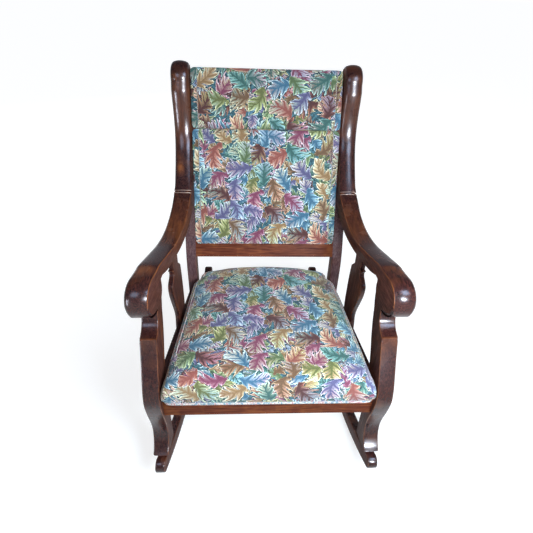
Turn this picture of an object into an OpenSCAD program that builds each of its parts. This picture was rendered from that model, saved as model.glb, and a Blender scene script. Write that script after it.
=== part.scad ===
// Upholstered scroll-arm rocking chair on bent runners, millimetres, +Z up.
// X runs to the viewer's right, the chair faces -Y, and the floor is Z = 0.
// The outlines are drawn with the seat rails level, Y from the front corner of the front legs.
// placed() then rolls the chair back on its runners to the pose in which it balances.

/* [Runners] */
// Radius of the curve that rolls on the floor
rocker_radius = 860; // [800:5:900]
// Centre of the runner's curve, behind the front corner of the legs
contact_y = 238; // [230:1:255]
// Angle that the chair rolls back until it balances
rest_tilt = 4.6; // [3:0.1:6]
// Runner length in front of the floor contact, at rest
runner_front_reach = 410; // [395:1:425]
// Runner length behind the floor contact, at rest
runner_rear_reach = 440; // [425:1:455]
// Height of a runner
runner_h = 42; // [36:1:48]
// Thickness of a runner
runner_w = 27; // [25:1:32]
// Runner centre line at the front legs, from the middle of the chair
runner_front_x = 285; // [283:1:290]
// Runner centre line at the rear legs
runner_rear_x = 251; // [246:1:254]

/* [Front legs] */
// Inner face of a front leg, from the middle of the chair
leg_inner_x = 275; // [271:1:279]
// Thickness of a front leg
leg_w = 42; // [38:1:46]
// Height of the sharp corner under the cove
leg_corner_z = 476; // [466:1:486]
// Depth that the scroll of the leg swings through
leg_swing = 100; // [92:1:108]
// Rear face of the leg where the side rail meets it
leg_rear_y = 24; // [18:1:26]
// Depth of the narrow neck under the arm
leg_neck_d = 56; // [50:1:60]

/* [Arms] */
// Lowest height of the arm's top surface
arm_low_z = 603; // [598:1:608]
// Rise of the top surface from there to the bead at the back
arm_rise = 62; // [58:1:68]
// Depth of wood from the bead to the rear leg behind it
arm_cover = 57; // [50:1:62]
// Thickness of the arm at mid length
arm_t = 38; // [34:1:42]
// Radius of the round scroll at the arm's front
scroll_r = 53; // [48:1:56]
// Inner face of the arm at its front
arm_front_x = 278; // [272:1:282]
// Width of the arm at its front
arm_front_w = 55; // [50:1:60]
// Radius of the bead groove between arm and ear
bead_r = 1.6; // [1:0.1:2.5]

/* [Back] */
// Angle of the back from upright
back_lean = 19.2; // [17:0.1:21]
// Front face of the rear legs at the seat rails
stile_y = 408; // [400:1:414]
// Height at which the leaning part starts
lean_z = 442; // [436:1:448]
// Inner face of a rear leg, from the middle of the chair
stile_inner_x = 228; // [225:1:233]
// Thickness of a rear leg
stile_w = 32; // [28:1:35]
// Depth of a rear leg
stile_d = 42; // [38:1:46]
// Width of the ear that covers the top of a rear leg
ear_w = 52; // [49:1:57]
// Radius of the roll at the top of the ear
ear_roll_r = 47; // [44:1:50]
// Length of the ear from the bead to its top
ear_rise = 335; // [328:1:342]
// Depth that the ear's front edge swings back through
ear_swing = 109; // [104:1:114]
// Length of the covered back, measured along its lean
panel_len = 527; // [520:1:532]
// Distance of the cross seam above the foot of the covered back
seam_s = 357; // [340:1:370]
// Height of the bare part of the rail under the covered back
back_rail_h = 45; // [38:1:50]
// Height that the cover hides of each cross rail
back_rail_cover = 20; // [14:1:26]

/* [Seat] */
// Height of the top of the seat rails
rail_top_z = 303; // [297:1:309]
// Height of a seat rail
rail_h = 63; // [56:1:70]
// Thickness of a seat rail
rail_t = 24; // [20:1:26]
// Clearance between the seat's side and a front leg
seat_leg_gap = 1; // [0.5:0.5:3]
// Step from the side rail's outer face to the seat's side, at the rear legs
seat_rear_step = 20; // [16:1:22]
// Overhang of the seat in front of the front rail
seat_nose = 25; // [18:1:28]
// Height of the seat's side band over the rails
seat_band = 37; // [30:1:42]
// Height of the crown over the side band
seat_crown = 62; // [50:2:70]

/* [Side splats] */
// Depth of a splat over its widest part
splat_d = 101; // [92:1:110]
// Front of the splat's neck behind the front corner of the legs
splat_y = 182; // [176:1:190]
// Thickness of a splat
splat_t = 14; // [11:1:17]

/* [Joinery] */
// Length of the tenons on the rails
tenon_len = 20; // [15:1:24]
// Thickness of the tenons
tenon_t = 10; // [8:1:12]
// Play between a tenon and its mortise
tenon_play = 0.2; // [0.1:0.1:0.4]
// Diameter of the dowels that hold the legs to the runners
dowel_d = 12; // [10:1:14]
// Length of those dowels
dowel_len = 44; // [36:1:50]
// Diameter of the corner block screws
screw_d = 4.5; // [4:0.5:6]
// Side length of the corner blocks
block_side = 66; // [56:1:72]

/* [Upholstery inside] */
// Width of a jute webbing strip
web_w = 50; // [40:1:56]
// Thickness of webbing and cloth
web_t = 1.6; // [1.2:0.1:2]
// Wire diameter of the seat springs
spring_wire = 3.4; // [3:0.1:4]
// Radius of a seat spring at its ends
spring_r = 36; // [32:1:40]
// Turns of a seat spring
spring_turns = 4; // [4:1:6]

/* [Hidden] */
$fn = 96;

// One overrun for every cut
over = 1;
// Half of the depth from the runners' front tips to their rear tips
mid_y = contact_y + (runner_rear_reach - runner_front_reach) / 2;
wood = "#4a2018";
worn_wood = "#6b3420";
cloth = "#4f6462";

// The legs' feet, the rails and the lines that the sides follow
rocker_z = rocker_radius;
runner_top_r = rocker_radius - runner_h;
rail_low_z = rail_top_z - rail_h;
front_rail_y = -42;
rear_rail_setback = 8;
rear_rail_y = stile_y + rear_rail_setback;
side_rail_front_x = leg_inner_x + rail_t * 1.12;
side_rail_rear_x = stile_inner_x + stile_w;
stile_outer_x = stile_inner_x + stile_w;
bead_z = arm_low_z + arm_rise;
arm_reach = lean_y(bead_z) - arm_cover;
tenon_h = rail_h * 0.6;

// A line that runs from front_x at the leg corner to rear_x at the rear legs
function along(front_x, rear_x, y) = front_x + (rear_x - front_x) * y / stile_y;
function runner_x(y) = along(runner_front_x, runner_rear_x, y);
function side_rail_x(y) = along(side_rail_front_x, side_rail_rear_x, y);

// Catmull-Rom curve through hand-placed points, n steps to a span
function curve_at(a, b, c, d, t) =
    (b * 2 + (c - a) * t + (a * 2 - b * 5 + c * 4 - d) * t * t + (b * 3 - a - c * 3 + d) * t * t * t) / 2;
function smooth(p, n) = concat(
    [for (i = [0 : len(p) - 2])
        for (k = [0 : n - 1])
            curve_at(p[max(i - 1, 0)], p[i], p[i + 1], p[min(i + 2, len(p) - 1)], k / n)],
    [p[len(p) - 1]]);
function reversed(p) = [for (i = [len(p) - 1 : -1 : 0]) p[i]];
function arc(c, r, from, sweep, n) =
    [for (k = [0 : n]) [c[0] + r * cos(from + sweep * k / n), c[1] + r * sin(from + sweep * k / n)]];
function spread(shares, size, corner) = [for (s = shares) [corner[0] + s[0] * size[0], corner[1] + s[1] * size[1]]];

// Every outline below is drawn in the side view, first number to the rear, second number up
module placed() {
    translate([0, contact_y - mid_y, rocker_z])
        rotate([-rest_tilt, 0, 0])
            translate([0, -contact_y, -rocker_z]) children();
}

module both_hands(side) {
    if (side > 0) children();
    else mirror([1, 0, 0]) children();
}

// Side-view outline made a board between two distances from the middle of the chair
module board(from_x, to_x) {
    translate([from_x, 0, 0])
        rotate([90, 0, 90])
            linear_extrude(height = to_x - from_x) children();
}

module rocker_circle(r) {
    translate([contact_y, rocker_z]) circle(r = r, $fn = 360);
}

// Runner: an arc with round tips, sawn to stand along the side of the chair
runner_mid_r = rocker_radius - runner_h / 2;
runner_tip_r = runner_h * 0.56;
runner_front_angle = asin((runner_front_reach - runner_tip_r) / runner_mid_r) - rest_tilt;
runner_rear_angle = asin((runner_rear_reach - runner_tip_r) / runner_mid_r) + rest_tilt;
function rocker_point(angle, r) = [contact_y + r * sin(angle), rocker_z - r * cos(angle)];

module runner_outline() {
    intersection() {
        difference() {
            rocker_circle(rocker_radius);
            rocker_circle(runner_top_r);
        }
        union() {
            polygon([
                [contact_y, rocker_z],
                rocker_point(-runner_front_angle, rocker_radius * 2),
                rocker_point(0, rocker_radius * 2),
                rocker_point(runner_rear_angle, rocker_radius * 2)
            ]);
            translate(rocker_point(-runner_front_angle, runner_mid_r)) circle(r = runner_tip_r, $fn = 48);
            translate(rocker_point(runner_rear_angle, runner_mid_r)) circle(r = runner_tip_r, $fn = 48);
        }
    }
}

module runner(side) {
    front_y = contact_y - runner_front_reach;
    rear_y = contact_y + runner_rear_reach * 1.3;
    half = runner_w / 2;
    color(wood) placed() both_hands(side)
        difference() {
            intersection() {
                board(runner_x(rear_y) - runner_w, runner_x(front_y) + runner_w) runner_outline();
                linear_extrude(height = rocker_radius)
                    polygon([
                        [runner_x(front_y) - half, front_y],
                        [runner_x(front_y) + half, front_y],
                        [runner_x(rear_y) + half, rear_y],
                        [runner_x(rear_y) - half, rear_y]
                    ]);
            }
            dowel_bores();
        }
}

// Dowels between the feet and the runners
front_dowel = [leg_inner_x + leg_w * 0.32, -leg_swing * 0.35];
rear_dowel = [stile_inner_x + stile_w * 0.55, stile_y + stile_d];
function runner_top_at(y) = rocker_z - sqrt(runner_top_r * runner_top_r - (y - contact_y) * (y - contact_y));

module dowel_at(place, d, length) {
    translate([place[0], place[1], runner_top_at(place[1]) - length / 2])
        cylinder(d = d, h = length, $fn = 32);
}

module dowel_bores() {
    dowel_at(front_dowel, dowel_d + tenon_play, dowel_len + over);
    dowel_at(rear_dowel, dowel_d + tenon_play, dowel_len + over);
}

module runner_dowels() {
    color("#c9a36a") placed()
        for (side = [-1, 1]) both_hands(side) {
            dowel_at(front_dowel, dowel_d, dowel_len);
            dowel_at(rear_dowel, dowel_d, dowel_len);
        }
}

// Front leg: an S-shaped board with a cove and a neck under the arm's scroll
leg_foot_z = runner_top_at(front_dowel[1]) - runner_h / 2;
leg_size = [leg_swing, leg_corner_z - leg_foot_z];
leg_face_shares = [
    [-0.83, 0.00], [-0.81, 0.075], [-0.64, 0.12], [-0.48, 0.18], [-0.41, 0.26], [-0.45, 0.35],
    [-0.54, 0.44], [-0.61, 0.53], [-0.63, 0.60], [-0.55, 0.68], [-0.40, 0.765], [-0.20, 0.87], [0.02, 1.00]
];
leg_back_shares = [[0.95, 1.055], [0.85, 0.965], [0.68, 0.855], [0.47, 0.75]];
leg_cove_shares = [[0.03, 0.00], [0.44, 0.06], [0.74, 0.17], [0.88, 0.31], [0.94, 0.50], [0.98, 0.70]];
leg_heel_shares = [[0.13, 0.40], [0.085, 0.28], [0.08, 0.15], [0.05, 0.00]];
scroll_y = scroll_r * 0.83;
scroll_z = arm_low_z - scroll_r * 0.45;
neck_y = leg_swing * 1.06;

module leg_outline() {
    size = leg_size;
    corner = [0, leg_foot_z];
    face = smooth(spread(leg_face_shares, size, corner), 4);
    cove = smooth([for (s = leg_cove_shares) [s[0] * (neck_y - leg_neck_d), leg_corner_z + s[1] * leg_swing]], 3);
    back = smooth(concat(
        [[neck_y + leg_neck_d * 0.13, scroll_z], [neck_y, scroll_z - scroll_r]],
        spread(leg_back_shares, size, corner),
        [[leg_rear_y, rail_top_z + leg_swing * 0.08]]), 3);
    heel = smooth(concat([[leg_rear_y, rail_low_z]], spread(leg_heel_shares, size, corner)), 3);
    intersection() {
        difference() {
            polygon(concat(face, cove, [[neck_y - leg_neck_d / 2, scroll_z]], back, heel));
            arm_outline();
        }
        rocker_circle(runner_top_r);
    }
}

module front_leg(side) {
    color(wood) placed() both_hands(side)
        difference() {
            board(leg_inner_x, leg_inner_x + leg_w) leg_outline();
            front_rail_tenon(tenon_play);
            side_rail_tenons(tenon_play);
            dowel_bores();
        }
}

// Arm: a bent board that falls from the back, runs level and ends in a round scroll
arm_top_shares = [
    [0.16, 0.446], [0.20, 0.44], [0.25, 0.40], [0.327, 0.292], [0.418, 0.169], [0.514, 0.046],
    [0.598, 0.00], [0.664, 0.015], [0.727, 0.077], [0.782, 0.185], [0.832, 0.32], [0.877, 0.477],
    [0.920, 0.646], [0.966, 0.831], [1.00, 1.00]
];
arm_under_shares = [
    [0.25, 0.66], [0.33, 0.36], [0.45, 0.17], [0.58, 0.00], [0.70, 0.02], [0.79, 0.15], [0.88, 0.43],
    [0.97, 0.85], [1.06, 1.40], [1.14, 2.10]
];
// Outline of the ear behind the bead, where the arm ends against it
bead_rear_y = arm_reach + stile_d * 2.15;

module arm_outline() {
    top = smooth(spread(arm_top_shares, [arm_reach, arm_rise], [0, arm_low_z]), 4);
    under = smooth(spread(arm_under_shares, [arm_reach, arm_t], [0, arm_low_z - arm_t]), 3);
    // The scroll runs from the arm's top round its front and ends where it faces the underside
    hollow = atan2(under[0][1] - scroll_z, under[0][0] - scroll_y);
    scroll = arc([scroll_y, scroll_z], scroll_r, 90, 270 + hollow, 56);
    polygon(concat(scroll, under, [[bead_rear_y, bead_z]], reversed(top)));
}

module bead_groove(from_x, to_x) {
    translate([from_x, arm_reach, bead_z])
        rotate([0, 90, 0])
            cylinder(r = bead_r, h = to_x - from_x, $fn = 16);
}

arm_rear_w = ear_w;
function along_arm(front_x, rear_x, y) = front_x + (rear_x - front_x) * y / arm_reach;

module arm(side) {
    color(wood) placed() both_hands(side)
        difference() {
            intersection() {
                board(stile_inner_x - over, arm_front_x + arm_front_w + over) arm_outline();
                linear_extrude(height = bead_z + over)
                    polygon([
                        [along_arm(arm_front_x, stile_inner_x, -scroll_r), -scroll_r],
                        [along_arm(arm_front_x + arm_front_w, stile_inner_x + arm_rear_w, -scroll_r), -scroll_r],
                        [stile_inner_x + arm_rear_w, arm_reach],
                        [stile_inner_x + arm_rear_w, bead_rear_y + over],
                        [stile_inner_x, bead_rear_y + over],
                        [stile_inner_x, arm_reach]
                    ]);
            }
            board(stile_inner_x - over, stile_outer_x) rear_leg_outline();
            bead_groove(stile_inner_x - over, stile_inner_x + arm_rear_w + over);
        }
}

// Rear leg: bent once over the seat, then it leans with the back
function lean_y(z) = stile_y + stile_d * 0.2 + (z - lean_z) * tan(back_lean);
stile_rear_shift = stile_d / cos(back_lean);
stile_top_z = lean_z + (panel_len + back_rail_h - stile_d * 0.4) * cos(back_lean);

module rear_leg_outline() {
    foot_z = 0;
    front_foot = [
        [stile_y, rail_low_z], [stile_y + stile_d * 0.12, rail_low_z - rail_h],
        [stile_y + stile_d * 0.5, rail_low_z - rail_h * 2.4], [stile_y + stile_d, foot_z]
    ];
    front_bend = [
        [stile_y, rail_top_z], [stile_y + stile_d * 0.02, rail_top_z + rail_h],
        [stile_y + stile_d * 0.09, rail_top_z + rail_h * 1.8], [lean_y(lean_z), lean_z]
    ];
    top = [[lean_y(stile_top_z), stile_top_z], [lean_y(stile_top_z) + stile_rear_shift, stile_top_z]];
    intersection() {
        polygon(concat(
            reversed(smooth(front_foot, 4)),
            smooth(front_bend, 4),
            top,
            [for (p = reversed(smooth(front_bend, 4))) [p[0] + stile_rear_shift, p[1]]],
            [for (p = smooth(front_foot, 4)) [p[0] + stile_rear_shift, p[1]]]));
        rocker_circle(runner_top_r);
    }
}

module rear_leg(side) {
    color(wood) placed() both_hands(side)
        difference() {
            board(stile_inner_x, stile_outer_x) rear_leg_outline();
            side_rail_tenons(tenon_play);
            rear_rail_tenon(tenon_play);
            back_rail_tenons(tenon_play);
            dowel_bores();
        }
}

// Ear: covers the front and outer side of the rear leg and rolls over at its top
ear_face_shares = [
    [0.00, 0.00], [0.17, 0.066], [0.34, 0.139], [0.54, 0.229], [0.73, 0.322], [0.87, 0.422],
    [0.94, 0.524], [0.96, 0.623], [0.95, 0.723], [0.96, 0.80]
];
ear_roll_back = 5;
ear_roll_y = arm_reach + ear_swing + ear_roll_r + ear_roll_back;
ear_roll_z = bead_z + ear_rise - ear_roll_r;

module ear_outline() {
    face = smooth(spread(ear_face_shares, [ear_swing, ear_rise], [arm_reach, bead_z]), 4);
    polygon(concat(
        face,
        arc([ear_roll_y, ear_roll_z], ear_roll_r, 180, -180, 36),
        [
            [lean_y(ear_roll_z - ear_roll_r) + stile_rear_shift * 0.97, ear_roll_z - ear_roll_r * 1.4],
            [bead_rear_y, bead_z]
        ]));
}

module ear(side) {
    color(wood) placed() both_hands(side)
        difference() {
            board(stile_inner_x, stile_inner_x + ear_w) ear_outline();
            board(stile_inner_x - over, stile_outer_x) rear_leg_outline();
            bead_groove(stile_inner_x - over, stile_inner_x + ear_w + over);
        }
}

// Splat: a hooked vase outline between the side rail and the arm
splat_size = [splat_d, arm_low_z - arm_t - rail_top_z];
splat_front_shares = [
    [0.20, 0.00], [0.24, 0.10], [0.30, 0.22], [0.25, 0.33], [0.09, 0.51], [0.01, 0.62], [0.00, 0.725],
    [0.10, 0.77], [0.24, 0.81], [0.26, 0.85], [0.18, 0.888]
];
splat_rear_shares = [
    [0.78, 1.06], [0.77, 0.95], [0.76, 0.855], [0.97, 0.775], [1.00, 0.60], [1.00, 0.40], [0.98, 0.22], [0.90, 0.00]
];

module splat_outline() {
    corner = [splat_y, rail_top_z];
    front = spread(splat_front_shares, splat_size, corner);
    rear = spread(splat_rear_shares, splat_size, corner);
    hook = spread([[0.30, 0.888], [0.32, 1.06]], splat_size, corner);
    difference() {
        polygon(concat(
            smooth(front, 4),
            hook,
            [for (i = [0 : 2]) rear[i]],
            smooth([for (i = [3 : len(rear) - 1]) rear[i]], 3)));
        arm_outline();
    }
}

module splat(side) {
    rear_y = splat_y + splat_d * 1.2;
    front_y = splat_y - splat_d * 0.2;
    outer = side_rail_front_x - rail_t * 0.45;
    outer_rear = side_rail_rear_x - rail_t * 0.1;
    color(worn_wood) placed() both_hands(side)
        intersection() {
            board(side_rail_rear_x - rail_t * 2, side_rail_front_x) splat_outline();
            linear_extrude(height = bead_z)
                polygon([
                    [along(outer, outer_rear, front_y) - splat_t, front_y],
                    [along(outer, outer_rear, front_y), front_y],
                    [along(outer, outer_rear, rear_y), rear_y],
                    [along(outer, outer_rear, rear_y) - splat_t, rear_y]
                ]);
        }
}

// Seat rails with tenons into the legs
tenon_z = rail_low_z + (rail_h - tenon_h) / 2;

module tenon_block(place, size, play) {
    translate([place[0] - play, place[1] - play, place[2] - play])
        cube([size[0] + play * 2, size[1] + play * 2, size[2] + play * 2]);
}

module front_rail_tenon(play) {
    tenon_block(
        [leg_inner_x - over, front_rail_y + (rail_t - tenon_t) / 2, tenon_z],
        [tenon_len + over, tenon_t, tenon_h], play);
}

module rear_rail_tenon(play) {
    tenon_block(
        [stile_inner_x - over, rear_rail_y + (rail_t - tenon_t) / 2, tenon_z],
        [tenon_len + over, tenon_t, tenon_h], play);
}

module front_seat_rail() {
    color(worn_wood) placed() {
        difference() {
            translate([-leg_inner_x, front_rail_y, rail_low_z]) cube([leg_inner_x * 2, rail_t, rail_h]);
            for (side = [-1, 1]) both_hands(side) screws_at(front_screws, tenon_play);
        }
        front_rail_tenon(0);
        mirror([1, 0, 0]) front_rail_tenon(0);
    }
}

module rear_seat_rail() {
    color(worn_wood) placed() {
        difference() {
            translate([-stile_inner_x, rear_rail_y, rail_low_z]) cube([stile_inner_x * 2, rail_t, rail_h]);
            for (side = [-1, 1]) both_hands(side) screws_at(rear_screws, tenon_play);
        }
        rear_rail_tenon(0);
        mirror([1, 0, 0]) rear_rail_tenon(0);
    }
}

// Plan of a strip along the side rail, between two distances from its outer face
module side_strip(from_y, to_y, outer_in, inner_in) {
    polygon([
        [side_rail_x(from_y) - inner_in, from_y],
        [side_rail_x(from_y) - outer_in, from_y],
        [side_rail_x(to_y) - outer_in, to_y],
        [side_rail_x(to_y) - inner_in, to_y]
    ]);
}

// The side tenons stop clear of the front and rear rails' own tenons
side_tenon_inset = (rail_t - tenon_t) / 2;

module side_rail_tenons(play) {
    translate([0, 0, tenon_z - play])
        linear_extrude(height = tenon_h + play * 2) {
            side_strip(leg_rear_y - tenon_len - play, leg_rear_y + over,
                side_tenon_inset - play, rail_t - side_tenon_inset + play);
            side_strip(stile_y - over, stile_y + tenon_len / 2 + play,
                side_tenon_inset - play, rail_t - side_tenon_inset + play);
        }
}

module side_rail(side) {
    color(wood) placed() both_hands(side) {
        difference() {
            translate([0, 0, rail_low_z])
                linear_extrude(height = rail_h) side_strip(leg_rear_y, stile_y, 0, rail_t);
            screws_at(front_screws, tenon_play);
            screws_at(rear_screws, tenon_play);
        }
        side_rail_tenons(0);
    }
}

// Corner blocks, screwed to the rails from inside
block_h = rail_h * 0.55;
block_z = rail_low_z + (rail_h - block_h) / 2;
front_inner_y = front_rail_y + rail_t;

module front_block_plan() {
    polygon([
        [leg_inner_x, front_inner_y],
        [leg_inner_x, leg_rear_y],
        [side_rail_x(leg_rear_y) - rail_t, leg_rear_y],
        [side_rail_x(block_side) - rail_t, block_side],
        [leg_inner_x - block_side, front_inner_y]
    ]);
}

module rear_block_plan() {
    polygon([
        [side_rail_x(stile_y) - rail_t, stile_y],
        [stile_inner_x, stile_y],
        [stile_inner_x, rear_rail_y],
        [stile_inner_x - block_side, rear_rail_y],
        [side_rail_x(stile_y - block_side) - rail_t, stile_y - block_side]
    ]);
}

screw_head_d = screw_d * 1.9;
screw_head_h = screw_d * 0.6;
screw_len = block_side * 0.5;
block_screw_z = block_z + block_h / 2;
// Each screw starts at the block's long face, one into each rail
front_screws = [
    [[leg_inner_x - block_side * 0.62, front_inner_y + block_side * 0.36], -90],
    [[leg_inner_x - block_side * 0.30, front_inner_y + block_side * 0.72], 0]
];
rear_screws = [
    [[stile_inner_x - block_side * 0.46, rear_rail_y - block_side * 0.38], 90],
    [[stile_inner_x - block_side * 0.16, rear_rail_y - block_side * 0.80], 0]
];

module screw_body(play) {
    rotate([0, 90, 0]) {
        cylinder(d = screw_d + play, h = screw_len + play, $fn = 16);
        translate([0, 0, -screw_head_h]) cylinder(d = screw_head_d + play, h = screw_head_h + play, $fn = 20);
    }
}

module screws_at(list, play) {
    for (s = list)
        translate([s[0][0], s[0][1], block_screw_z]) rotate([0, 0, s[1]]) screw_body(play);
}

module screw_ways(list) {
    screws_at(list, tenon_play);
    for (s = list)
        translate([s[0][0], s[0][1], block_screw_z]) rotate([0, 0, s[1]]) rotate([0, -90, 0])
            cylinder(d = screw_head_d + tenon_play, h = block_side, $fn = 20);
}

module front_corner_block(side) {
    color("#b88a55") placed() both_hands(side)
        difference() {
            translate([0, 0, block_z]) linear_extrude(height = block_h) front_block_plan();
            screw_ways(front_screws);
        }
}

module rear_corner_block(side) {
    color("#b88a55") placed() both_hands(side)
        difference() {
            translate([0, 0, block_z]) linear_extrude(height = block_h) rear_block_plan();
            screw_ways(rear_screws);
        }
}

module corner_block_screws() {
    color("silver") placed()
        for (side = [-1, 1]) both_hands(side) {
            screws_at(front_screws, 0);
            screws_at(rear_screws, 0);
        }
}

// The leaning back: local Z runs up the back, local -Y is its front, Y = 0 is the rear legs' face
module on_back() {
    placed()
        translate([0, lean_y(lean_z), lean_z])
            rotate([-back_lean, 0, 0]) children();
}

back_rail_t = 22;
cross_rail_h = back_rail_h + back_rail_cover;
back_top_s = back_rail_h + panel_len - web_t * 4;
back_top_rail_s = back_top_s - cross_rail_h;

module back_rail_tenon_at(s, play) {
    tenon_block(
        [stile_inner_x - over, (back_rail_t - tenon_t) / 2, s + cross_rail_h * 0.2],
        [tenon_len + over, tenon_t, cross_rail_h * 0.6], play);
}

module back_rail_tenons(play) {
    translate([0, lean_y(lean_z), lean_z])
        rotate([-back_lean, 0, 0]) {
            back_rail_tenon_at(0, play);
            back_rail_tenon_at(back_top_rail_s, play);
        }
}

module cross_rail(s) {
    translate([-stile_inner_x, 0, s]) cube([stile_inner_x * 2, back_rail_t, cross_rail_h]);
    back_rail_tenon_at(s, 0);
    mirror([1, 0, 0]) back_rail_tenon_at(s, 0);
}

module back_bottom_rail() {
    color(worn_wood) on_back() cross_rail(0);
}

module back_top_rail() {
    color(worn_wood) on_back() cross_rail(back_top_rail_s);
}

strip_w = 26;
strip_len = back_top_rail_s - cross_rail_h;

module back_strip(side) {
    color("#b88a55") on_back() both_hands(side)
        translate([stile_inner_x - strip_w, 0, cross_rail_h])
            cube([strip_w, back_rail_t, strip_len]);
}

// Jute webbing across the back, stretched over the front of its rails and strips
back_web_count = 4;

module back_webbing() {
    span = stile_inner_x * 2 - strip_w;
    step = strip_len / back_web_count;
    color("#b59a6a") on_back() {
        for (i = [0 : back_web_count - 1])
            translate([-span / 2, -web_t, cross_rail_h + step * (i + 0.5) - web_w / 2])
                cube([span, web_t, web_w]);
        for (x = [-1, 0, 1])
            translate([x * span / 4 - web_w / 2, -web_t * 2, cross_rail_h - back_rail_cover * 0.8])
                cube([web_w, web_t, strip_len + back_rail_cover * 1.6]);
    }
}

// Stuffed pad: rings of one outline that draw in and rise towards a crown
function ring_of(outline, centre, share, z) = [for (p = outline) [
    centre[0] + (p[0] - centre[0]) * share[0],
    centre[1] + (p[1] - centre[1]) * share[1],
    z
]];

module pad(outline, centre, rings) {
    n = len(outline);
    m = len(rings);
    points = concat(
        [for (r = rings) each ring_of(outline, centre, [r[0], r[1]], r[2])],
        [[centre[0], centre[1], rings[m - 1][2]], [centre[0], centre[1], rings[0][2]]]);
    sides = [for (k = [0 : m - 2]) for (i = [0 : n - 1]) each [
        [k * n + i, (k + 1) * n + i, (k + 1) * n + (i + 1) % n],
        [k * n + i, (k + 1) * n + (i + 1) % n, k * n + (i + 1) % n]
    ]];
    crown = [for (i = [0 : n - 1]) [(m - 1) * n + i, n * m, (m - 1) * n + (i + 1) % n]];
    base = [for (i = [0 : n - 1]) [i, (i + 1) % n, n * m + 1]];
    polyhedron(points = points, faces = concat(sides, crown, base), convexity = 4);
}

// Clearances and set-backs of the seat's padding
seat_clear = 0.4;
seat_tail = 8;
seat_notch_gap = 6;
seat_tail_gap = 3;
seat_crown_back = 10;
cavity_rise = 46;
seat_front_half = leg_inner_x - seat_leg_gap;
seat_rear_half = side_rail_rear_x - seat_rear_step;
seat_base_z = rail_top_z + seat_clear;
seat_front_y = front_rail_y - seat_nose;
seat_corner_r = 30;
seat_rear_y = rear_rail_y + rail_t + seat_tail;
seat_notch_y = stile_y - seat_notch_gap;
seat_tail_half = stile_inner_x - seat_tail_gap;
seat_cavity_z = rail_top_z + cavity_rise;
seat_right_side = concat(
    arc([seat_front_half - seat_corner_r, seat_front_y + seat_corner_r], seat_corner_r, -90, 90, 4),
    [for (k = [1 : 4]) [
        seat_front_half + (seat_rear_half - seat_front_half) * k / 4,
        seat_front_y + seat_corner_r + (seat_notch_y - seat_front_y - seat_corner_r) * k / 4
    ]],
    [[seat_tail_half, seat_notch_y]],
    arc([seat_tail_half - seat_corner_r / 2, seat_rear_y - seat_corner_r / 2], seat_corner_r / 2, 0, 90, 2));
seat_outline = concat(
    [for (k = [0 : 3]) [(seat_front_half - seat_corner_r) * (k / 2 - 1) * 0.9, seat_front_y]],
    seat_right_side,
    [for (k = [0 : 3]) [(seat_tail_half - seat_corner_r) * (1 - k / 1.5) * 0.9, seat_rear_y]],
    [for (p = reversed(seat_right_side)) [-p[0], p[1]]]);
seat_ring_shares = [
    [0.97, 0.925, 0.00], [0.99, 0.965, 0.08], [1.00, 0.99, 0.21], [1.00, 1.00, 0.37], [0.985, 0.985, 0.55],
    [0.95, 0.96, 0.72], [0.89, 0.92, 0.83], [0.79, 0.84, 0.905], [0.62, 0.68, 0.955], [0.40, 0.45, 0.985],
    [0.18, 0.20, 1.00]
];
seat_rise = seat_band + seat_crown;

module seat_cushion() {
    centre = [0, (seat_front_y + seat_rear_y) / 2 + seat_crown_back];
    color(cloth) placed()
        difference() {
            pad(seat_outline, centre, [for (s = seat_ring_shares) [s[0], s[1], seat_base_z + s[2] * seat_rise]]);
            spring_well(seat_clear);
        }
}

// Room for the springs under the padding
well_front_gap = 30;
well_rear_gap = 36;
well_side_gap = 26;
well_front_y = front_inner_y + well_front_gap;
well_rear_y = stile_y - well_rear_gap;
well_half = side_rail_x(well_rear_y) - rail_t - well_side_gap;

module spring_well(grow) {
    translate([-well_half - grow, well_front_y - grow, rail_low_z])
        cube([(well_half + grow) * 2, well_rear_y - well_front_y + grow * 2, seat_cavity_z - rail_low_z + grow]);
}

module spring_burlap() {
    color("#a98e62") placed()
        translate([-well_half, well_front_y, seat_cavity_z - web_t])
            cube([well_half * 2, well_rear_y - well_front_y, web_t]);
}

// Jute webbing under the seat, one layer each way, tacked to the undersides of the rails
seat_web_count = 4;
cover_gap = 1;
web_inset = rail_t * 0.4;

module seat_webbing() {
    depth = rear_rail_y + rail_t * 0.8 - front_rail_y - web_inset;
    color("#b59a6a") placed() {
        for (i = [0 : seat_web_count - 1])
            translate([
                (i - (seat_web_count - 1) / 2) * stile_inner_x * 0.46 - web_w / 2,
                front_rail_y + web_inset,
                rail_low_z - web_t
            ]) cube([web_w, depth, web_t]);
        for (i = [0 : seat_web_count - 1]) {
            y = well_front_y + (well_rear_y - well_front_y) * (i + 0.5) / seat_web_count;
            half = side_rail_x(y) - rail_t * 0.3;
            translate([-half, y - web_w / 2, rail_low_z - web_t * 2]) cube([half * 2, web_w, web_t]);
        }
    }
}

// Seat springs: hourglass coils, each one unbroken wire
ring_sides = 6;
rings_a_turn = 8;
spring_low_z = rail_low_z + spring_wire / 2;
spring_high_z = seat_cavity_z - web_t - spring_wire / 2;
spring_rise = spring_high_z - spring_low_z;
spring_waist_share = 0.68;
function spring_point(t) =
    let (r = spring_r * (spring_waist_share + (1 - spring_waist_share) * pow(abs(2 * t - 1), 1.5)),
         a = 360 * spring_turns * t)
    [r * cos(a), r * sin(a), spring_low_z + spring_rise * t];
spring_steps = spring_turns * rings_a_turn;
spring_path = [for (k = [0 : spring_steps]) spring_point(k / spring_steps)];

function unit(v) = v / norm(v);
function heading(p, k) = unit(p[min(k + 1, len(p) - 1)] - p[max(k - 1, 0)]);
function tube_ring(p, k, r) =
    let (t = heading(p, k), side = unit(cross(t, [0, 0, 1])), up = cross(side, t))
    [for (i = [0 : ring_sides - 1])
        p[k] + side * r * cos(360 * i / ring_sides) + up * r * sin(360 * i / ring_sides)];

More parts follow.
